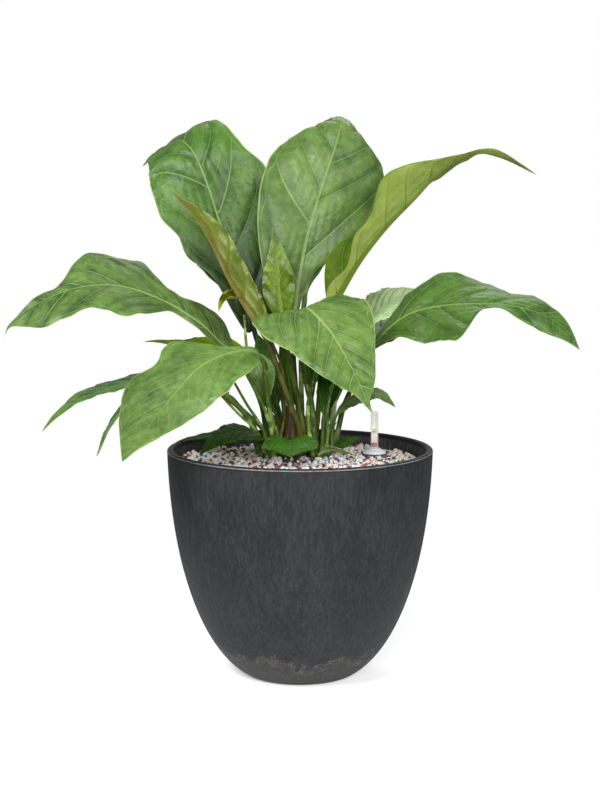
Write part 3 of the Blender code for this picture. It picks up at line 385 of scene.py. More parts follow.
FINE_GRID = (46, 144, 24)  # cells across a blade, rings along it, and rings on its stalk
SMALL_GRID = (26, 80, 18)
LINE_POINTS = 1600  # along a leaf, of which its rings are some
THINNEST, NARROWEST = 0.16, 0.01  # least half thickness and half-width of a blade
SWEEP_CURVED = 0.35  # how much further a side vein runs towards the tip at the margin
NARROW = 26.0  # a blade's half-width below which it grows flatter
STRIPS = 64  # how many strips between side veins have a draw of their own
KNEE_SWELL, KNEE_LENGTH = 0.22, 9.0  # where the stalk meets the blade: share of its radius, and length
SHEATH_SWELL, SHEATH_LENGTH = 0.35, 16.0  # and where the stalk leaves the crown
RIB_ABOVE, RIB_BELOW = 0.42, 0.95  # the midrib's height on each side, as a share of its radius
LEAST_PAINTED_LIGHT_BELOW = 0.6  # painted light and shade never darken an underside below this


def smooth(low, high, x):
    x = np.clip((x - low) / (high - low), 0, 1)
    return x * x * (3 - 2 * x)


def unit(vectors):
    return vectors / np.linalg.norm(vectors, axis=1)[:, None]


def run_along(points):
    """How far along a line each of its points lies."""
    return np.concatenate([[0], np.cumsum(np.linalg.norm(np.diff(points, axis=0), axis=1))])


def cubic(x, start, end, slope, slope_end, length=1):
    """Where a smooth piece with given ends and slopes is at x, from 0 to 1."""
    return ((1 + 2 * x) * (1 - x) ** 2 * start + x * (1 - x) ** 2 * length * slope
            + x * x * (3 - 2 * x) * end + x * x * (x - 1) * length * slope_end)


def curve_through(points, count):
    """Evenly spaced points along a smooth curve through the given ones, and the unit tangents there."""
    p = np.array(points, float)
    step = np.linalg.norm(np.diff(p, axis=0), axis=1)
    secant = np.diff(p, axis=0) / step[:, None]
    slope = np.empty_like(p)
    slope[0], slope[-1] = secant[0], secant[-1]
    before, after = step[:-1, None], step[1:, None]
    slope[1:-1] = (after * secant[:-1] + before * secant[1:]) / (before + after)
    at = run_along(p)
    u = np.linspace(0, at[-1], 2 * count)
    i = np.clip(np.searchsorted(at, u, side="right") - 1, 0, len(step) - 1)
    h = step[i, None]
    dense = cubic((u - at[i])[:, None] / h, p[i], p[i + 1], slope[i], slope[i + 1], h)
    run = run_along(dense)
    even = np.linspace(0, run[-1], count)
    line = np.stack([np.interp(even, run, dense[:, k]) for k in range(3)], 1)
    return line, unit(np.gradient(line, axis=0))


def along(values, t):
    """Values given at evenly spaced places from 0 to 1, read at t on smooth curves through them."""
    values = np.array(values, float)
    slope = np.array([values[1] - values[0]] * 2) if len(values) == 2 else np.gradient(values, axis=0)
    place = np.clip(t, 0, 1) * (len(values) - 1)
    i = np.minimum(place.astype(int), len(values) - 2)
    x = place - i
    if values.ndim > 1:
        x = x[:, None]
    return cubic(x, values[i], values[i + 1], slope[i], slope[i + 1])


def seat_points(crown, seat):
    """The first two points of a stalk, standing square on its crown's dome."""
    turn, lift = (math.radians(angle) for angle in seat)
    way = np.array([math.cos(turn) * math.cos(lift), math.sin(turn) * math.cos(lift), math.sin(lift)])
    centre = np.array([*CROWNS[crown], FILL_LEVEL + GAP])
    return [centre + way * (CROWN_RADIUS + GAP), centre + way * (CROWN_RADIUS + SEAT_RISE)]


def blade_points(leaf, s, t, reach, line, side, up):
    """Points and normals of the blade's middle surface at s, from -1 at the left margin to 1 at the right.

    reach is the distance from the midrib along the surface.
    """
    sign = 1 if s > 0 else -1
    _, fold, curl, (height, number, phase) = leaf.half(sign)
    start = np.radians(along(fold, t))
    turn = np.radians(along(curl, t)) * abs(s) + 1e-6
    out = reach / turn * (np.sin(start + turn) - np.sin(start))
    rise = reach / turn * (np.cos(start) - np.cos(start + turn))
    ripple = height * s * s * np.sin(FULL_TURN * number * t + math.radians(phase)) * np.sin(math.pi * t)
    lean = (start + turn)[:, None]
    middle = line + sign * out[:, None] * side + (rise + ripple)[:, None] * up
    return middle, np.cos(lean) * up - sign * np.sin(lean) * side


class Waves:
    """One leaf's own irregularities, drawn once."""

    def __init__(self, rng):
        def turn():
            return rng.uniform(0, FULL_TURN)

        self.swell = [(number, turn(), rng.uniform(-1.5, 1.5)) for number in (2.3, 3.7, 5.9)]
        self.margin = {half: (rng.uniform(5.5, 8.5), turn()) for half in (-1, 1)}
        self.drift = [(number, turn(), height) for number, height in ((1.7, 0.16), (3.9, 0.09))]
        self.strips = rng.uniform(0, 1, STRIPS)
        self.pitch = rng.uniform(7.5, 9.5)
        self.nicks = {half: (rng.uniform(15, 19), turn()) for half in (-1, 1)}


def outline_change(margin, t):
    """How far the margin stands out at t, on a smooth curve through its places and zero at both ends."""
    if not margin:
        return np.zeros_like(t)
    fine = np.linspace(0, 1, 401)
    reach, spread = 24, 7.0  # of the smoothing, in steps of fine
    window = np.exp(-0.5 * (np.arange(-reach, reach + 1) / spread) ** 2)
    places = np.array([0, *margin, 100]) / 100
    value = np.pad(np.interp(fine, places, [0, *margin.values(), 0]), reach, mode="edge")
    return np.interp(t, fine, np.convolve(value, window / window.sum(), mode="valid"))


def side_phase(look, waves, s, t, out):
    """Counts the side veins along the leaf: a side vein runs wherever this is a whole number.

    out is the distance from the midrib as a share of the blade's length.
    """
    at = t - out * (look.sweep + SWEEP_CURVED * s * s)
    phase = at * look.veins + 0.2 * math.tanh(70 * s)
    for number, turn, height in waves.drift:
        phase = phase + height * np.sin(FULL_TURN * number * at + turn + s)
    return phase


def relief(look, waves, s, t, across, phase):
    """Height of the blade over its smooth form, in millimetres. across is the distance from the midrib."""
    reach = abs(s)
    half = 1 if s > 0 else -1
    inside = smooth(0.6, 6.0, across) * (1 - smooth(0.84, 1.0, reach)) * (1 - smooth(0.9, 1.0, t))
    inside = inside * smooth(2, NARROW, across / max(reach, 0.01))
    between = np.abs(np.sin(math.pi * phase))
    strip = waves.strips[np.floor(phase).astype(int) % STRIPS]
    puckers = np.abs(np.sin(math.pi * (across / waves.pitch + 3 * strip + 0.5 * phase))) ** 0.7 - 0.6
    puckers = puckers * between * (0.3 + 0.4 * strip) * (1.15 - reach)
    height = look.relief * (between ** 0.45 - 0.78 + puckers) * inside
    for number, turn, lean in waves.swell:
        height = height + 2.4 / number * reach * inside * np.sin(number * FULL_TURN * t + lean * s + turn)
    for (number, turn), tall, power in ((waves.margin[half], 1, 5), (waves.nicks[half], 0.4, 9)):
        ripple = np.sin(FULL_TURN * number * t + turn) * np.sin(math.pi * t)
        height = height + tall * look.ripple * reach ** power * ripple
    return height


def leaf_line(leaf, look):
    """The points of the leaf's middle line, how far along each lies, and which of them starts the blade."""
    line, _ = curve_through(seat_points(leaf.crown, leaf.seat) + leaf.stalk + leaf.rib, LINE_POINTS)
    run = run_along(line)
    base = int(np.argmin(np.linalg.norm(line - np.array(leaf.rib[0], float), axis=1)))
    place = np.arange(LINE_POINTS)[:, None]
    share = np.clip((place - base) / (LINE_POINTS - 1 - base), 0, 1)
    line = line + smooth(look.tip_from, 1.0, share) * np.array(look.tip, float)
    line = line + np.sin(math.pi * share) ** 1.5 * np.array(look.bow, float)
    return line + smooth(0, 1, place / base) * np.array(look.shift, float), run, base


def leaf_sides(leaf, look, tangent, t):
    """The directions to the blade's right hand and upwards from it, all along the leaf."""
    face = along(leaf.face, t)
    up = unit(face - np.sum(face * tangent, axis=1)[:, None] * tangent)
    side = np.cross(tangent, up)
    rolled = np.radians(look.roll[0] + (look.roll[1] - look.roll[0]) * smooth(0.2, 0.9, t))[:, None]
    return np.cos(rolled) * side - np.sin(rolled) * up, np.cos(rolled) * up + np.sin(rolled) * side


def leaf_surface(leaf, look, waves):
    """The leaf's rings of points from the crown on, what its material reads there, and the leaf's tip."""
    across_count, along_count, stalk_count = FINE_GRID if look.fine else SMALL_GRID
    line, run, base = leaf_line(leaf, look)
    last = LINE_POINTS - 1
    length = run[last] - run[base]
    place = np.concatenate([np.linspace(0, base, stalk_count, endpoint=False),
                            np.linspace(base, last - 4, along_count)]).astype(int)
    t = np.clip((place - base) / (last - base), 0, 1)
    side, up = leaf_sides(leaf, look, unit(np.gradient(line, axis=0))[place], t)
    line_at, run_at = line[place], run[place]

    foot, neck = leaf.stalk_radius
    radius = np.where(place < base, foot + (neck - foot) * place / base, neck * (1 - RIB_TAPER * t))
    rib = np.maximum(radius * (1 - smooth(0.95, 1.0, t)), 0.05)
    radius = radius * (1 + KNEE_SWELL * np.exp(-((run_at - run[base] + 4) / KNEE_LENGTH) ** 2)
                       + SHEATH_SWELL * np.exp(-(run_at / SHEATH_LENGTH) ** 2))
    steep = np.radians((along(leaf.fold, t) + along(leaf.fold_right or leaf.fold, t)) / 2)
    reach, thickness = {}, {}
    for half, margin in ((-1, look.left), (1, look.right)):
        width = along((0, *leaf.half(half)[0], 0), t) + outline_change(margin, t)
        reach[half] = np.maximum(width, NARROWEST)
        thickness[half] = np.clip(THIN_SHARE * reach[half] * np.cos(steep), THINNEST, BLADE_HALF_THICK)
    back = ((1 - smooth(0, 0.24, t)) * smooth(0, 0.04, t))[:, None] * np.array(look.lobe, float)
    share = smooth(0, BLADE_FULL, t)
    # How much painted light or shade the colour gets along the leaf.
    light = look.shade[0] + (look.shade[1] - look.shade[0]) * smooth(0, 0.7, t)
    same = np.ones_like(t)

    u = np.linspace(-1, 1, across_count + 1)
    top = np.sign(u) * np.abs(u) ** 1.3
    points, facts = [], []
    for s, way in [(s, 1) for s in top] + [(s, -1) for s in top[-2:0:-1]]:
        half = 1 if s > 0 else -1
        across = abs(s) * reach[half]
        middle, normal = blade_points(leaf, s, t, across, line_at, side, up)
        phase = side_phase(look, waves, s, t, across / length)
        middle = middle + back * abs(s) ** 1.3
        middle = middle + normal * relief(look, waves, s, t, across, phase)[:, None]
        by_rib = 1 - smooth(0.2, 2.2, across / rib)
        normal = normal * (1 - by_rib[:, None]) + up * by_rib[:, None]
        ridge = np.sqrt(np.clip(1 - (across / rib) ** 2, 0, 1))
        thin = thickness[half] * (1 - 0.6 * abs(s) ** 8)
        mitre = 1 + (1 / np.cos(steep) - 1) * by_rib
        lift = thin * mitre + RIB_ABOVE * rib * ridge if way > 0 else -thin - RIB_BELOW * rib * ridge
        if abs(s) == 1:
            lift = lift * 0
        turn = math.radians(90 * (1 - s)) * way
        tube = line_at + radius[:, None] * (math.cos(turn) * side + math.sin(turn) * up)
        sheet = middle + normal * lift[:, None]
        points.append(tube * (1 - share[:, None]) + sheet * share[:, None])
        # The underside keeps less of the painted shade.
        shade = light if way > 0 else np.maximum(light, LEAST_PAINTED_LIGHT_BELOW)
        facts.append(np.stack([phase, same * length / look.veins, same * abs(s),
                               t, across, same * (way > 0),
                               share, rib * look.rib, same * look.tone,
                               shade, same * look.clear, same], 1))
    return np.stack(points, 1), np.stack(facts, 1), line[-1]


def closed_rings(rings, end=None, loop=False):
    """Points and faces of a closed surface through rings of points.

    The last ring is closed flat, or drawn to one end point or, on a loop, joined to the first.
    """
    count, around = rings.shape[:2]
    points = rings.reshape(-1, 3)
    k, j = np.meshgrid(np.arange(count if loop else count - 1), np.arange(around), indexing="ij")
    here, after = k * around + j, k * around + (j + 1) % around
    faces = np.stack([here, after, after + around, here + around], -1).reshape(-1, 4) % len(points)
    faces = faces.tolist()
    if loop:
        return points, faces
    faces.append(list(range(around))[::-1])
    last = (count - 1) * around
    if end is None:
        faces.append(list(range(last, last + around)))
    else:
        points = np.concatenate([points, [end]])
        faces += [[last + j, last + (j + 1) % around, len(points) - 1] for j in range(around)]
    return points, faces


def add_object(name, data):
    made = bpy.data.objects.new(name, data)
    bpy.context.collection.objects.link(made)
    return made


def add_mesh(name, points, faces, material, slot_name, replaced=(), body="planter", sharp=None):
    """A piece from points in millimetres, on a body and in place of the CAD nodes that it replaces."""
    mesh = bpy.data.meshes.new(name)
    mesh.from_pydata((np.asarray(points) * MM).tolist(), [], faces)
    shape = bmesh.new()
    shape.from_mesh(mesh)
    bmesh.ops.recalc_face_normals(shape, faces=shape.faces)
    shape.to_mesh(mesh)
    shape.free()
    mesh.shade_smooth()
    if sharp:
        mesh.set_sharp_from_angle(angle=math.radians(sharp))
    mesh.materials.append(material)
    piece = add_object(name, mesh)
    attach(piece, body)
    if replaced:
        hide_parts(*replaced)
    return piece


def store(mesh, name, values):
    """Keeps three numbers at each vertex for the material to read."""
    kept = mesh.attributes.new(name, "FLOAT_VECTOR", "POINT")
    kept.data.foreach_set("vector", np.asarray(values, np.float32).ravel())


def store_facts(piece, facts):
    """Keeps what the leaves' materials read at each vertex, three numbers to a name. The last isn't read."""
    for column, name in enumerate(("vein_at", "leaf_at", "stalk_at", "painted_light_at")):
        store(piece.data, name, facts[:, 3 * column:3 * column + 3])


def make_leaves():
    for number, leaf in enumerate(LEAVES + INNER_BLADES):
        look = LOOKS.get(leaf.name, INNER_LOOK)
        rings, facts, tip = leaf_surface(leaf, look, Waves(np.random.default_rng(100 + number)))
        points, faces = closed_rings(rings, tip)
        facts = facts.reshape(-1, facts.shape[-1])
        piece = add_mesh("blade_" + leaf.name, points, faces, leaf_material(look.finish or leaf.material),
                         leaf.material, [leaf.name] if leaf.name in LOOKS else (), sharp=65)
        store_facts(piece, np.concatenate([facts, facts[-1:]]))


def make_bare_stalks(crown_look):
    """Stalks whose blades are hidden. All but the withered one wear the leaves' material."""
    for name, (crown, seat, (foot, head), *points) in BARE_STALKS.items():
        line, tangent = curve_through(seat_points(crown, seat) + points, 60)
        side = unit(np.cross(tangent, (0, 1, 0)))
        up = np.cross(side, tangent)
        share = np.linspace(0, 1, len(line))
        run = share * np.sum(np.linalg.norm(np.diff(line, axis=0), axis=1))
        radius = (foot + (head - foot) * share) * (1 + SHEATH_SWELL * np.exp(-(run / SHEATH_LENGTH) ** 2))
        rings = np.stack([line + radius[:, None] * (math.cos(turn) * side + math.sin(turn) * up)
                          for turn in np.linspace(0, FULL_TURN, 20, endpoint=False)], 1)
        surface, faces = closed_rings(rings, line[-1] + tangent[-1] * head)
        if name == "withered_stalk":
            add_mesh(name, surface, faces, crown_look, "crown")
            continue
        piece = add_mesh(name, surface, faces, leaf_material("leaf"), "leaf")
        store_facts(piece, np.tile(BARE_FACTS, (len(surface), 1)))


class Graph:
    """Builds a material's nodes from sums written in Python. A value is a socket or a number."""

    def __init__(self, name):
        self.material = bpy.data.materials.new(name)
        self.material.use_nodes = True
        self.tree = self.material.node_tree
        self.shader = self.tree.nodes["Principled BSDF"]

    def put(self, value, socket):
        if isinstance(value, bpy.types.NodeSocket):
            self.tree.links.new(value, socket)
        else:
            socket.default_value = (*value, 1) if socket.type == "RGBA" else value

    def node(self, kind, inputs, **settings):
        """Adds a node, fills its inputs, by name or by number, and gives its outputs."""
        made = self.tree.nodes.new("ShaderNode" + kind)
        for key, value in settings.items():
            setattr(made, key, value)
        for key, value in inputs.items():
            self.put(value, made.inputs[key])
        return made.outputs

    def sum(self, operation, *values):
        return self.node("Math", dict(enumerate(values)), operation=operation)[0]

    def add(self, *values):
        return reduce(lambda a, b: self.sum("ADD", a, b), values)

    def less(self, a, b):
        return self.sum("SUBTRACT", a, b)

    def times(self, *values):
        return reduce(lambda a, b: self.sum("MULTIPLY", a, b), values)

    def most(self, a, b):
        return self.sum("MAXIMUM", a, b)

    def within(self, value):
        """The value, kept between 0 and 1."""
        return self.sum("MINIMUM", self.most(value, 0.0), 1.0)

    def ramp(self, value, low, high, start=0.0, end=1.0):
        """A smooth step from start to end while value goes from low to high."""
        inputs = dict(enumerate((value, low, high, start, end)))
        return self.node("MapRange", inputs, interpolation_type="SMOOTHSTEP")[0]

    def mix(self, share, a, b):
        return self.node("Mix", {0: share, 6: a, 7: b}, data_type="RGBA")[2]

    def over(self, colour, *layers):
        """The colour with others laid over it in turn, each by its own share."""
        return reduce(lambda below, layer: self.mix(layer[0], below, layer[1]), layers, colour)

    def place(self, scale=(1, 1, 1)):
        """The point of the surface in metres at rest, stretched."""
        at = self.node("TexCoord", {})["Object"]
        return self.node("VectorMath", {0: at, 1: scale}, operation="MULTIPLY")[0]

    def noise(self, vector, scale, detail=3.0, roughness=0.5, distortion=0.0):
        inputs = {"Vector": vector, "Scale": scale, "Detail": detail, "Roughness": roughness}
        return self.node("TexNoise", {**inputs, "Distortion": distortion})["Fac"]

    def cells(self, vector, scale, feature="DISTANCE_TO_EDGE"):
        return self.node("TexVoronoi", {"Vector": vector, "Scale": scale}, feature=feature)["Distance"]

    def kept(self, name):
        """The three numbers that store() keeps at each vertex."""
        return self.node("SeparateXYZ", {0: self.node("Attribute", {}, attribute_name=name)["Vector"]})

    def bump(self, height, distance):
        inputs = {"Strength": 1.0, "Distance": distance, "Height": height}
        self.set(Normal=self.node("Bump", inputs)["Normal"])

    def set(self, **values):
        for key, value in values.items():
            self.put(value, self.shader.inputs[key.replace("_", " ")])


def srgb(*values):
    """A colour given in screen values from 0 to 255, as the linear numbers that shaders take."""
    shares = [v / 255 for v in values]
    return tuple(s / 12.92 if s <= 0.04045 else ((s + 0.055) / 1.055) ** 2.4 for s in shares)


# Leaf colours in screen values: deep, bright and vein, and then underside, underside vein and stalk.
BELOW = ((112, 138, 80), (138, 158, 96), (80, 100, 26))
LEAF_COLOURS = {
    "leaf": ((20, 62, 20), (108, 138, 62), (162, 188, 106), *BELOW),
    "leaf_deep": ((24, 60, 18), (84, 122, 44), (150, 178, 90), (104, 132, 74), *BELOW[1:]),
    "leaf_dark": ((14, 48, 6), (56, 100, 18), (90, 124, 40), (96, 118, 66), (122, 144, 82), (70, 88, 22)),
    # leaf_new's deep and bright: its own dark green upper side, made darker still as painted shade on a far
    # half.
    "leaf_new": ((26, 54, 0), (80, 108, 0), (126, 144, 44), (138, 152, 76), (86, 106, 26), (112, 116, 36)),
    # Paler, greyer colours that stand in for the leaf's gloss: a painted sheen.
    "leaf_painted_sheen": ((60, 92, 52), (144, 162, 114), (176, 194, 140), *BELOW),
    "leaf_young": ((44, 80, 0), (112, 142, 4), (130, 152, 30),
                   (112, 134, 36), (140, 150, 50), (108, 116, 34)),
    "leaf_bronze": ((44, 62, 2), (140, 146, 30), (124, 110, 38),
                    (104, 122, 32), (116, 96, 34), (86, 82, 24)),
}
BRONZE_EDGE = (100, 90, 10)  # a darker band under the young bronze leaf
SPECK = (150, 128, 60)
# Roughness, specular level, how strongly the colour is mottled, height of the fine bumps, how much light
# goes through, and how much of the fine bumps the underside has.
SURFACE = {
    "leaf": (0.42, 0.4, 0.08, 0.42, 0.08, 0.2),
    "leaf_deep": (0.4, 0.3, 0.1, 0.42, 0.08, 0.2),
    "leaf_dark": (0.42, 0.14, 0.08, 0.6, 0.08, 0.2),
    "leaf_new": (0.55, 0.12, 0.08, 0.3, 0.3, 1.0),
    "leaf_painted_sheen": (0.5, 0.4, 0.12, 0.3, 0.15, 0.2),
    "leaf_young": (0.34, 0.4, 0.3, 0.3, 0.2, 1.0),
    "leaf_bronze": (0.26, 0.5, 0.8, 0.3, 0.15, 1.0),
}


@cache
def leaf_material(name):
    """One leaf finish. It reads at each vertex where the veins run and the painted light and shade on the
    leaf.
    """
    deep, bright, vein, below, below_vein, stalk = (srgb(*colour) for colour in LEAF_COLOURS[name])
    gloss, specular, mottling, quilting, clearness, below_bumps = SURFACE[name]
    g = Graph("look_" + name)
    phase, spacing, reach = g.kept("vein_at")
    t, across, upper = g.kept("leaf_at")
    blade, rib, tone = g.kept("stalk_at")
    shade, clear, _ = g.kept("painted_light_at")
    lower = g.less(1.0, upper)

    # Distances in millimetres from the nearest side vein, lesser vein and the vein along the margin.
    near = g.sum("PINGPONG", phase, 0.5)
    side_gap = g.times(near, spacing, g.ramp(reach, 0.0, 0.9, 0.8, 0.6))
    lesser_gap = g.times(g.sum("PINGPONG", g.times(phase, 3.0), 0.5), spacing, 0.24)
    border = g.less(0.905, g.times(g.sum("COSINE", g.times(phase, FULL_TURN)), 0.028))
    from_border = g.less(g.sum("DIVIDE", border, g.most(reach, 0.05)), 1.0)
    border_gap = g.times(g.sum("ABSOLUTE", from_border), across)

    # Where each kind of vein and pattern shows, from 0 to 1.
    reaches = g.ramp(reach, 0.86, 0.93, 1.0, 0.0)
    midrib = g.ramp(g.sum("DIVIDE", across, rib), 0.55, 1.15, 1.0, 0.0)
    # Painted shade along both sides of the midrib.
    beside_rib_painted_shade = g.ramp(g.less(across, rib), 0.0, 3.2, 1.0, 0.0)
    side_width = g.ramp(reach, 0.0, 0.9, 1.0, 0.45)
    side_vein = g.times(g.ramp(g.sum("DIVIDE", side_gap, side_width), 0.3, 1.2, 1.0, 0.0), reaches)
    # Painted shade in the valleys beside the side veins.
    flank_painted_shade = g.times(g.ramp(near, 0.02, 0.16, 1.0, 0.0), reaches)
    lesser = g.times(g.ramp(lesser_gap, 0.1, 0.7, 1.0, 0.0), g.ramp(reach, 0.5, 0.85, 1.0, 0.0))
    border_vein = g.ramp(border_gap, 0.15, 0.7, 1.0, 0.0)
    net = g.ramp(g.cells(g.place(), 190.0), 0.0, 0.16, 1.0, 0.0)
    fine_net = g.ramp(g.cells(g.place(), 560.0), 0.0, 0.2, 1.0, 0.0)
    quilt = g.ramp(g.noise(g.place(), 130.0, 1.5, 0.4), 0.34, 0.66)
    # Painted light on the raised pillows between the veins.
    pillow_painted_light = g.ramp(near, 0.05, 0.42)
    patches = g.noise(g.place(), 15.0, 3.0, 0.55)
    blotches = g.noise(g.place(), 42.0, 4.0, 0.6, 0.6)
    spots = g.noise(g.place(), 120.0, 2.0, 0.5)
    streaks = g.noise(g.place((1, 1, 0.2)), 300.0, 3.0, 0.6)
    specks = g.ramp(g.noise(g.place(), 260.0, 2.0, 0.5), 0.74, 0.8)

    # From deep to bright on the upper side: tone and mottles, plus painted light on the pillows, less
    # painted shade by the veins.
    light = g.add(g.times(tone, 0.75), g.ramp(patches, 0.32, 0.7, -0.16, 0.24),
                  g.ramp(blotches, 0.34, 0.66, -mottling, mottling), g.times(pillow_painted_light, clear, 0.22),
                  g.ramp(spots, 0.35, 0.7, -0.08, 0.08), g.times(quilt, 0.06))
    light = g.within(g.less(light, g.times(g.most(flank_painted_shade, beside_rib_painted_shade), clear, 0.2)))
    above = g.over(g.mix(light, deep, bright), (g.times(fine_net, 0.04), vein), (g.times(net, 0.04), vein),
                   (g.times(lesser, 0.18), vein), (g.times(border_vein, 0.25), vein),
                   (g.times(side_vein, clear, g.ramp(t, 0.0, 1.0, 0.66, 0.36)), vein),
                   (g.ramp(reach, 0.97, 0.99, 0.0, 0.6), vein))
    veins_below = g.most(g.times(side_vein, 0.8), g.most(g.times(lesser, 0.2), g.times(net, 0.08)))
    under = g.over(below, (veins_below, below_vein), (g.ramp(patches, 0.35, 0.7, 0.0, 0.4), deep),
                   (g.ramp(blotches, 0.4, 0.7, 0.0, 0.25), bright))
    if name == "leaf_bronze":
        band = g.ramp(g.add(across, g.times(patches, 8.0)), 9.0, 13.0, 0.6, 0.0)
        under = g.mix(band, under, srgb(*BRONZE_EDGE))
    stalks = g.over(stalk, (g.ramp(streaks, 0.36, 0.64, 0.0, 0.75), deep),
                    (g.ramp(blotches, 0.5, 0.62, 0.0, 0.45), vein))
    rib_shows = g.times(midrib, g.most(clear, lower), g.ramp(t, 0.05, 0.9, 1.0, 0.35))
    sheet = g.mix(rib_shows, g.mix(upper, under, above), g.mix(upper, below_vein, vein))
    colour = g.over(g.mix(blade, stalks, sheet), (g.times(specks, 0.35), srgb(*SPECK)))
    # The colour is scaled by the leaf's painted light and shade.
    g.set(Base_Color=g.node("VectorMath", {0: colour, "Scale": shade}, operation="SCALE")[0])

    rough = g.add(g.ramp(blotches, 0.3, 0.72, gloss - 0.05, gloss + 0.1),
                  g.times(g.most(midrib, side_vein), 0.1), g.times(lower, 0.12),
                  g.ramp(t, 0.8, 0.95, 0.0, 0.15))
    g.set(Roughness=rough, Specular_IOR_Level=specular, Subsurface_Weight=clearness, Subsurface_Scale=0.004,
          Subsurface_Radius=(0.5, 0.8, 0.2))
    grooves = g.add(g.times(net, -0.02), g.times(lesser, -0.1), g.times(side_vein, -0.3))
    bumps = g.add(g.times(spots, 0.2), g.times(quilt, g.ramp(patches, 0.4, 0.62, 0.1, quilting)))
    height = g.add(g.times(grooves, g.ramp(upper, 0.0, 1.0, -0.7, 1.0)),
                   g.times(bumps, g.ramp(upper, 0.0, 1.0, below_bumps, 1.0)))
    g.bump(g.times(height, g.ramp(t, 0.8, 0.94, 1.0, 0.25), g.ramp(blade, 0.0, 1.0, 0.3, 1.0)), 0.0009)
    return g.material


def add_turned(name, profile, sides, material, slot_name, at=(0, 0), loop=False, sharp=40, **more):
    """A piece turned round an upright axis from an outline of (radius, height), closed where loop is set."""
    turn = np.linspace(0, FULL_TURN, sides, endpoint=False)
    radius, height = np.array(profile, float).T[:, :, None]
    rings = np.stack([radius * np.cos(turn), radius * np.sin(turn), np.repeat(height, sides, 1)], -1)
    points, faces = closed_rings(rings + np.array([*at, 0.0]), loop=loop)
    add_mesh(name, points, faces, material, slot_name, sharp=sharp, **more)


def arc(centre, radius, start, end, count):
    angles = np.radians(np.linspace(start, end, count))
    return [(centre[0] + radius * math.cos(a), centre[1] + radius * math.sin(a)) for a in angles]


def wall_curve(inset, low, count):
    """Points down the pot's side, set in by a distance, from the rim's height to a given height."""
    corners = ((RIM_RADIUS, POT_HEIGHT), BELLY_HIGH, BELLY_LOW, (FOOT_RADIUS, 0))
    t = np.linspace(0, 1, 400)[:, None]
    shares = ((1 - t) ** 3, 3 * t * (1 - t) ** 2, 3 * t * t * (1 - t), t ** 3)
    side = sum(share * np.array(corner) for share, corner in zip(shares, corners))
    run = np.gradient(side, axis=0)
    side = side + unit(np.stack([run[:, 1], -run[:, 0]], 1)) * inset
    side = side[side[:, 1] >= low]
    return [tuple(side[k]) for k in np.linspace(0, len(side) - 1, count).astype(int)]


def pot_material():
    """Dark stone with upright streaks, a smoother rim with a painted highlight, a scuffed foot and a pale
    inside.
    """
    g = Graph("look_pot")
    streak = g.noise(g.place((1, 1, 0.1)), 950.0, 3.0, 0.65)
    drag = g.noise(g.place((1, 1, 0.16)), 260.0, 4.0, 0.6)
    cloud = g.noise(g.place((1, 1, 0.55)), 22.0, 5.0, 0.62)
    wisps = g.ramp(g.noise(g.place(), 190.0, 5.0, 0.7, 1.5), 0.42, 0.62)
    pits = g.ramp(g.noise(g.place(), 1500.0, 2.0), 0.66, 0.74)
    up = g.node("SeparateXYZ", {0: g.place()})[2]
    normal = g.node("NewGeometry", {})["Normal"]
    outwards = g.node("VectorMath", {0: normal, 1: g.place((1, 1, 0))}, operation="DOT_PRODUCT")["Value"]

    def height_step(below_top, above_top, start=0.0, end=1.0):
        return g.ramp(up, (POT_HEIGHT - below_top) * MM, (POT_HEIGHT - above_top) * MM, start, end)

    rim = height_step(5.5, 3.5)
    ragged = g.add(up, g.times(g.less(g.noise(g.place((1, 1, 0.7)), 34.0, 6.0, 0.68), 0.5), 0.075))
    scuffed = g.ramp(ragged, 0.030, 0.038, 1.0, 0.0)
    edge = g.times(g.ramp(ragged, 0.026, 0.034), g.ramp(ragged, 0.036, 0.042, 1.0, 0.0))
    inside = g.times(g.ramp(outwards, -0.1, -0.05, 1.0, 0.0), height_step(6.5, 5.0, 1.0, 0.0))
    # A thin light line round the rim's outer edge: a painted highlight.
    painted_glint = g.times(height_step(3.0, 2.4), height_step(1.6, 1.1, 1.0, 0.0), g.ramp(outwards, 0.04, 0.08))

    tone = g.within(g.add(g.ramp(streak, 0.35, 0.72, -0.34, 0.42), g.ramp(drag, 0.3, 0.72, -0.26, 0.34),
                          g.ramp(cloud, 0.33, 0.68, -0.25, 0.3), 0.42))
    g.set(Specular_IOR_Level=0.2, Base_Color=g.over(
        g.mix(tone, srgb(30, 30, 31), srgb(50, 51, 52)),
        (g.times(scuffed, g.add(0.3, g.times(wisps, 0.3))), srgb(72, 70, 66)),
        (g.times(edge, g.times(wisps, 0.6)), srgb(96, 94, 90)),
        (g.times(pits, 0.25), srgb(80, 80, 80)),
        (g.times(inside, 0.8), g.mix(tone, srgb(50, 50, 50), srgb(92, 92, 91))),
        (g.times(rim, g.ramp(inside, 0.0, 1.0, 0.85, 0.0)), srgb(26, 26, 27)),
        (g.times(painted_glint, g.ramp(drag, 0.3, 0.6, 0.4, 0.85)), srgb(132, 132, 130))))
    g.set(Roughness=g.add(g.times(rim, -0.2), g.ramp(cloud, 0.3, 0.7, 0.62, 0.78)))
    grain = g.add(g.times(streak, 0.5), g.add(g.times(drag, 0.4), g.times(pits, 0.3)))
    g.bump(g.times(grain, g.less(1.0, g.times(rim, 0.9))), 0.0006)
    return g.material


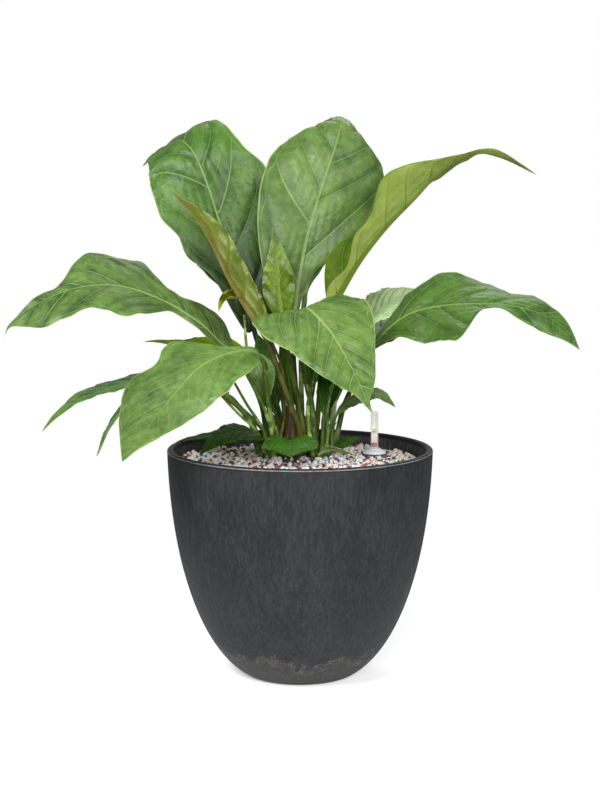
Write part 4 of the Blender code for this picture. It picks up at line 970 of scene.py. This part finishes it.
def make_pot():
    top = POT_HEIGHT - RIM_ROUND
    lip = arc((RIM_RADIUS - RIM_ROUND, top), RIM_ROUND, 90, 0, 8)
    outside = [point for point in wall_curve(0, 0, 70) if 0.8 < point[1] < top - 0.3]
    foot = [(FOOT_RADIUS - 0.8, 0), (12.0, 0), (0.001, 0), (0.001, FLOOR)]
    lip_inner = arc((RIM_RADIUS - WALL + RIM_ROUND, top), RIM_ROUND, 180, 90, 8)
    profile = lip + outside + foot + wall_curve(WALL, FLOOR, 50)[:0:-1] + lip_inner
    add_turned("pot_shell", profile, 160, pot_material(), "pot", replaced=["pot"], loop=True, sharp=50)


def stone_material(name, low, high, rough, grain, dark_share=0.0):
    """Loose grains of one kind: each grain has its own shade between two colours."""
    g = Graph("look_" + name)
    shade = g.kept("grain_at")[0]
    mottle = g.noise(g.place(), grain, 3.0, 0.6)
    # Pores, sunk by the bump and darkened in colour: painted shade in the pores.
    pores = g.ramp(g.cells(g.place(), 1300.0, "F1"), 0.1, 0.3, 1.0, 0.0)
    g.set(Base_Color=g.over(g.mix(shade, srgb(*low), srgb(*high)),
                            (g.ramp(mottle, 0.36, 0.68, 0.35, 0.0), srgb(*[0.55 * v for v in low])),
                            (g.times(pores, dark_share), srgb(*[0.35 * v for v in low]))))
    g.set(Roughness=g.ramp(mottle, 0.3, 0.7, rough - 0.1, rough), Specular_IOR_Level=0.35)
    g.bump(g.less(mottle, g.times(pores, 0.5)), 0.0004)
    return g.material


GRAIN_PITCH = 5.7
ROW_SHARE = 0.866  # a row's step as a share of the pitch, in a pattern of even triangles
JITTER = 0.9  # how far a grain usually strays from the pattern
EDGE_CLEAR = 3.2  # between the fill's edge and the middles of its outermost grains
LAYER = 3.2  # between two layers of grains where they are heaped
SECOND_SHARE = 0.28  # of the places that have another grain on top
HEAP_HEIGHT, HEAP_AT, HEAP_WIDTH = 11.0, 22.0, 24.0  # of the grains heaped round the crowns
GAUGE_CLEAR, GAUGE_SLOPE = 3.4, 14.0  # how near the gauge grains come, and from where they slope down to it
GRAINS = {  # share of all, radius, flat facets, the two shades, roughness, scale of the mottle, painted shade in pores
    "granules_pumice": (0.44, 3.0, 7, (240, 214, 200), (253, 242, 234), 0.9, 900.0, 0.12),
    "granules_lava": (0.33, 2.7, 9, (72, 46, 50), (158, 116, 114), 0.95, 1100.0, 0.35),
    "granules_zeolite": (0.23, 2.9, 12, (196, 226, 240), (244, 250, 255), 0.6, 500.0, 0.0),
}


def from_crowns(x, y):
    """How far a place is from the nearest crown's axis."""
    return min(math.hypot(x - crown_x, y - crown_y) for crown_x, crown_y in CROWNS.values())


def grain_spots(rng):
    """Places of the grains: a jittered pattern at the fill's level, and more of them lying on top."""
    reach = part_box("granulate")[1].x / MM - EDGE_CLEAR
    spots = []
    rows = int(reach / (GRAIN_PITCH * ROW_SHARE)) + 1
    for row in range(-rows, rows + 1):
        for column in range(-rows - 6, rows + 7):
            x = (column + 0.5 * (row % 2)) * GRAIN_PITCH + rng.normal(0, JITTER)
            y = row * GRAIN_PITCH * ROW_SHARE + rng.normal(0, JITTER)
            spots.append((x, y, FILL_LEVEL + 0.6 + rng.uniform(-0.8, 1.4)))
            if rng.uniform() < SECOND_SHARE:
                spots.append((x + 2.6, y + 1.5, FILL_LEVEL + 3.6 + rng.uniform(-0.6, 1.0)))
            heap = HEAP_HEIGHT * (1 - abs(from_crowns(x, y) - HEAP_AT) / HEAP_WIDTH)
            for layer in range(1, int(heap / LAYER) + 1):
                level = FILL_LEVEL + 0.8 + LAYER * layer
                spots.append((x + rng.normal(0, 1.2), y + rng.normal(0, 1.2), level))
    kept = []
    for x, y, z in spots:
        by_gauge = math.hypot(x - GAUGE_AT[0], y - GAUGE_AT[1]) - GAUGE_RADIUS
        if math.hypot(x, y) < reach and from_crowns(x, y) > CROWN_RADIUS - 2 and by_gauge > GAUGE_CLEAR:
            kept.append((x, y, min(z, FILL_LEVEL - 1.6 + 0.35 * by_gauge) if by_gauge < GAUGE_SLOPE else z))
    return kept


def make_grains():
    rng = np.random.default_rng(21)
    ball = bmesh.new()
    bmesh.ops.create_icosphere(ball, subdivisions=2, radius=1)
    ball_points = np.array([v.co for v in ball.verts])
    ball_faces = np.array([[v.index for v in f.verts] for f in ball.faces])
    ball.free()
    spots = np.array(grain_spots(rng))
    kinds = rng.choice(len(GRAINS), size=len(spots), p=[kind[0] for kind in GRAINS.values()])
    for number, (name, (_, radius, facets, *finish)) in enumerate(GRAINS.items()):
        chosen = spots[kinds == number]
        points, facts = [], []
        for spot in chosen:
            shape = ball_points * rng.uniform(0.88, 1.14, 3)
            for way in rng.normal(size=(facets, 3)):
                way = way / np.linalg.norm(way)
                over = shape @ way - rng.uniform(0.66, 0.92)
                shape = shape - np.maximum(over, 0)[:, None] * way
            turn = np.linalg.qr(rng.normal(size=(3, 3)))[0]
            points.append(shape @ turn * radius * rng.uniform(0.78, 1.22) + spot)
            facts.append(np.tile([rng.uniform(), rng.uniform(), 0.0], (len(ball_points), 1)))
        faces = (ball_faces[None] + len(ball_points) * np.arange(len(chosen))[:, None, None]).reshape(-1, 3)
        piece = add_mesh(name, np.concatenate(points), faces.tolist(), stone_material(name, *finish),
                         "granulate", sharp=38)
        store(piece.data, "grain_at", np.concatenate(facts))


def plain_material(name, colour, rough, spot=0.12, scale=300.0, depth=0.0001, **more):
    """Moulded plastic: a slight mottle in colour and gloss, and a fine skin."""
    g = Graph("look_" + name)
    mottle = g.ramp(g.noise(g.place(), scale, 3.0, 0.55), 0.3, 0.7)
    dimmed = tuple(v * (1 - spot) for v in srgb(*colour))
    g.set(Base_Color=g.mix(mottle, dimmed, srgb(*colour)), **more)
    g.set(Roughness=g.add(rough - 0.05, g.times(mottle, 0.12)))
    g.bump(g.noise(g.place(), scale * 4, 2.0), depth)
    return g.material


TUBE_RADIUS = 5.5
LEVEL_BARS = ((299.4, 1.0), (296.6, 1.6))  # the middle and the height of each bar on the tube


def add_strip(name, outer, inner, start, end, count, heights, material):
    """A piece bent round the gauge's axis between two radii, two angles and two heights."""
    outline = arc(GAUGE_AT, outer, start, end, count) + arc(GAUGE_AT, inner, end, start, count)
    points, faces = closed_rings(np.array([[(x, y, z) for x, y in outline] for z in heights]))
    add_mesh(name, points, faces, material, "clear_plastic")


def make_gauge():
    """Water gauge above the grains: dark ring, clear dome and tube, red marker and card with a painted glow,
    level bars.
    """
    foot, ring = GAUGE_LOW.z / MM, GAUGE_HIGH.z / MM + 0.9
    seat, wide = ring + GAP, GAUGE_RADIUS
    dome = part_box("gauge_collar")[1].z / MM
    low, top = (corner.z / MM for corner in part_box("gauge_window"))
    mark_low, mark_high = (corner.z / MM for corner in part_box("gauge_marker"))

    base = [(10.4, foot), (wide - 0.6, foot), (wide, foot + 0.6), (wide, ring - 0.6), (wide - 0.6, ring),
            (10.4, ring)]
    dark = plain_material("gauge_ring", (84, 72, 92), 0.38, 0.25)
    add_turned("gauge_base", base, 64, dark, "dark_plastic", GAUGE_AT, loop=True, replaced=["gauge_ring"])
    bulge = [(wide - 0.5, seat), (wide - 0.6, seat + 1.4), (wide - 1.8, seat + 3.2), (12.6, dome - 3.6),
             (10.4, dome - 2.2), (8.2, dome - 1.1), (7.0, dome)]
    hollow = [(5.8, dome), (5.8, dome - 4.0), (9.0, dome - 5.2), (10.0, seat)]
    milky = plain_material("gauge_collar", (250, 248, 255), 0.16, 0.06, Alpha=0.78)
    add_turned("gauge_dome", bulge + hollow, 64, milky, "clear_plastic", GAUGE_AT, loop=True,
               replaced=["gauge_collar"])
    outer = [(0.001, top), (2.6, top), (4.2, top - 0.5), (5.1, top - 1.4), (TUBE_RADIUS, top - 3.0),
             (TUBE_RADIUS, low + 2.4), (9.6, low + 1.7), (9.6, low)]
    bore = [(4.5, low), (4.5, top - 1.5), (4.1, top - 1.05), (0.001, top - 1.0)]
    clear = plain_material("gauge_clear", (240, 240, 240), 0.16, 0.05, Alpha=0.12)
    add_turned("gauge_tube", outer + bore, 48, clear, "clear_plastic", GAUGE_AT, replaced=["gauge_window"])
    # The card glows: painted light, brighter than the lamps make it.
    card = plain_material("gauge_card_painted_glow", (248, 246, 240), 0.5, Emission_Color=(1.0, 0.98, 0.94),
                          Emission_Strength=0.22)
    add_strip("gauge_scale_card_painted_glow", 4.35, 3.85, 20, 160, 17, (low + 3.0, top - 3.2), card)
    marker = [(0.001, mark_low), (3.1, mark_low), (3.6, mark_low + 0.5), (3.6, mark_high - 0.5),
              (3.1, mark_high), (0.001, mark_high)]
    # The marker glows a little: painted light.
    red = plain_material("gauge_marker", (176, 24, 12), 0.35, Emission_Color=(0.5, 0.03, 0.01),
                         Emission_Strength=0.2)
    add_turned("gauge_red_marker", marker, 40, red, "red_plastic", GAUGE_AT, replaced=["gauge_marker"],
               body="float")
    for number, (height, size) in enumerate(LEVEL_BARS):
        yellow = plain_material(f"gauge_bar_{number}", (214, 184, 44), 0.5)
        add_strip(f"gauge_level_bar_{number}", TUBE_RADIUS + 0.12, TUBE_RADIUS - 0.1, -120, -66, 9,
                  (height - size / 2, height + size / 2), yellow)


def crown_material():
    g = Graph("look_crown")
    fibre = g.noise(g.place((1, 1, 0.12)), 620.0, 4.0, 0.65)
    patch = g.noise(g.place(), 60.0, 4.0, 0.6)
    g.set(Base_Color=g.over(g.mix(g.ramp(fibre, 0.3, 0.7), srgb(36, 24, 14), srgb(96, 70, 44)),
                            (g.ramp(patch, 0.45, 0.7, 0.0, 0.5), srgb(84, 96, 40))))
    g.set(Roughness=g.ramp(fibre, 0.3, 0.7, 0.7, 0.9))
    g.bump(fibre, 0.001)
    return g.material


def make_crowns(crown_look):
    """Each crown as a knobbed stock, ringed by dry papery sheaths that stand round the stalks' feet."""
    rng = np.random.default_rng(5)
    turn = np.linspace(0, FULL_TURN, 72, endpoint=False)
    for name, (x, y) in CROWNS.items():
        rings = []
        for height in np.linspace(0, 1, 26):
            knob = 1 - 0.05 * (1 + np.sin(7 * turn + 9 * height)) * (1 - height)
            knob = knob - 0.03 * (1 + np.sin(13 * turn - 14 * height))
            radius = CROWN_RADIUS * math.sqrt(max(1 - (height * 0.995) ** 2, 0)) * knob
            level = FILL_LEVEL + GAP + height * (CROWN_RADIUS - 0.4)
            rings.append(np.stack([x + radius * np.cos(turn), y + radius * np.sin(turn),
                                   np.full_like(turn, level)], 1))
        points, faces = closed_rings(np.array(rings), (x, y, FILL_LEVEL + CROWN_RADIUS))
        add_mesh("stock_" + name, points, faces, crown_look, "crown", ["crown_" + name], sharp=60)
        make_sheaths(name, (x, y), crown_look, rng)


SHEATHS = 11  # round each crown


def make_sheaths(name, centre, material, rng):
    """Thin pointed scales that stand up from the crown and curl outwards at their tips."""
    points, faces = [], []
    for number in range(SHEATHS):
        turn = FULL_TURN * number / SHEATHS + rng.uniform(-0.25, 0.25)
        out = np.array([math.cos(turn), math.sin(turn), 0.0])
        side = np.array([-math.sin(turn), math.cos(turn), 0.0])
        tall, wide = rng.uniform(22, 60), rng.uniform(3.4, 6.0)
        foot = np.array([*centre, FILL_LEVEL + 3.0]) + out * rng.uniform(9.5, 14)
        lean, curl = rng.uniform(0.0, 0.16), rng.uniform(0.0, 0.2)
        rings = []
        for k in np.linspace(0, 1, 12):
            at = foot + np.array([0, 0, tall * k]) + out * tall * (lean * k + curl * k ** 3)
            half = wide * (1 - k ** 2) + 0.15
            front = [at + side * half * s - out * (0.9 * half * s * s - 0.3) for s in (-1, -0.5, 0, 0.5, 1)]
            back = [at + side * half * s - out * (0.9 * half * s * s + 0.2) for s in (0.6, 0, -0.6)]
            rings.append(front + back)
        more, added = closed_rings(np.array(rings), rings[-1][2] + np.array([0, 0, 0.8]))
        faces += [[corner + len(points) for corner in face] for face in added]
        points += more.tolist()
    add_mesh("sheaths_" + name, points, faces, material, "crown", sharp=60)


def soil_material():
    g = Graph("look_soil")
    crumb = g.noise(g.place(), 160.0, 5.0, 0.65)
    g.set(Base_Color=g.mix(g.ramp(crumb, 0.3, 0.7), srgb(30, 20, 14), srgb(74, 52, 36)))
    g.set(Roughness=g.ramp(crumb, 0.3, 0.7, 0.85, 0.98))
    g.bump(crumb, 0.003)
    return g.material


def fill_material():
    g = Graph("look_fill")
    gap = g.cells(g.place(), 170.0)
    shade = g.cells(g.place(), 170.0, "F1")
    # Dark between the cells: painted shade in the gaps between grains.
    g.set(Base_Color=g.over(g.mix(g.ramp(shade, 0.2, 0.6), srgb(110, 92, 84), srgb(178, 162, 148)),
                            (g.ramp(gap, 0.0, 0.16, 0.9, 0.0), srgb(34, 26, 24))))
    g.set(Roughness=g.ramp(shade, 0.2, 0.6, 0.8, 0.95))
    g.bump(gap, 0.003)
    return g.material


def finish_hidden():
    """Finishes for the CAD pieces that stay as they are, inside the pot."""
    white = plain_material("gauge_white", (226, 225, 222), 0.45)
    hidden = {"root_ball": soil_material(), "granulate": fill_material(), "gauge_sleeve": white,
              "gauge_float": white, "gauge_rod": white}
    for node, material in hidden.items():
        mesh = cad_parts[node].data
        mesh.materials.clear()
        mesh.materials.append(material)


# The studio, in metres and degrees. The camera's lens is in millimetres.
CAMERA_AT = (0.0, -2.4, 0.662)
CAMERA_PITCH = 7.53
CAMERA_LENS = 87.9
FLOOR_RADIUS = 0.6
FLOOR_DROP = 0.0002  # so that the floor and the pot's foot don't share a plane
WORLD_LIGHT = 0.2
MIDDLE, LOWER_MIDDLE = (0.0, 0.0, 0.42), (0.0, 0.0, 0.3)
LIGHTS = {  # place, the point it faces, width and height, power and colour
    "key": ((-1.3, -1.9, 2.3), MIDDLE, (1.3, 1.3), 88, (0.95, 0.98, 1.0)),
    "front": ((0.4, -2.5, 1.15), LOWER_MIDDLE, (1.3, 0.7), 46, (1.0, 0.99, 0.98)),
    "fill": ((2.1, -1.2, 1.4), LOWER_MIDDLE, (0.8, 1.4), 22, (0.97, 0.99, 1.0)),
    "back": ((0.4, 1.7, 2.1), MIDDLE, (1.4, 1.0), 14, (1, 1, 1)),
    "backdrop": ((0.0, 2.4, 0.75), MIDDLE, (3.2, 1.5), 8, (1, 1, 1)),
}


def make_camera():
    camera = add_object("camera", bpy.data.cameras.new("camera"))
    camera.location = CAMERA_AT
    camera.rotation_euler = (math.radians(90 - CAMERA_PITCH), 0, 0)
    camera.data.lens = CAMERA_LENS
    camera.data.sensor_width = 36
    camera.data.clip_end = 60
    bpy.context.scene.camera = camera
    bpy.context.scene.view_settings.view_transform = "Standard"


def make_floor():
    g = Graph("look_floor")
    haze = g.noise(g.place(), 3.0, 2.0)
    g.set(Base_Color=g.mix(haze, (0.9, 0.9, 0.9), (0.93, 0.93, 0.93)), Roughness=0.9, Specular_IOR_Level=0.1,
          Emission_Color=(1.0, 1.0, 1.0), Emission_Strength=0.4)
    mesh = bpy.data.meshes.new("floor")
    turn = np.linspace(0, FULL_TURN, 96, endpoint=False)
    rim = [(FLOOR_RADIUS * math.cos(a), FLOOR_RADIUS * math.sin(a), 0) for a in turn]
    mesh.from_pydata(rim, [], [tuple(range(len(rim)))])
    mesh.materials.append(g.material)
    floor = add_object("floor", mesh)
    floor.location.z = -FLOOR_DROP


def make_world():
    """White where the camera sees it, and a weaker cool light on the object."""
    world = bpy.data.worlds.new("studio")
    world.use_nodes = True
    nodes, links = world.node_tree.nodes, world.node_tree.links
    seen, light = nodes["Background"], nodes.new("ShaderNodeBackground")
    seen.inputs["Color"].default_value = (1, 1, 1, 1)
    seen.inputs["Strength"].default_value = 1.0
    light.inputs["Color"].default_value = (0.93, 0.97, 1.0, 1)
    light.inputs["Strength"].default_value = WORLD_LIGHT
    mixed = nodes.new("ShaderNodeMixShader")
    links.new(nodes.new("ShaderNodeLightPath").outputs["Is Camera Ray"], mixed.inputs[0])
    links.new(light.outputs[0], mixed.inputs[1])
    links.new(seen.outputs[0], mixed.inputs[2])
    links.new(mixed.outputs[0], nodes["World Output"].inputs["Surface"])
    bpy.context.scene.world = world


def make_lights():
    for name, (at, target, size, power, colour) in LIGHTS.items():
        light = bpy.data.lights.new(name, "AREA")
        light.shape = "RECTANGLE"
        light.size, light.size_y = size
        light.energy = power
        light.color = colour
        lamp = add_object(name, light)
        lamp.location = at
        lamp.visible_camera = False
        lamp.rotation_euler = (Vector(target) - Vector(at)).to_track_quat("-Z", "Y").to_euler()


make_pot()
make_grains()
make_gauge()
crown_look = crown_material()
make_crowns(crown_look)
finish_hidden()
make_leaves()
make_bare_stalks(crown_look)
make_camera()
make_floor()
make_world()
make_lights()
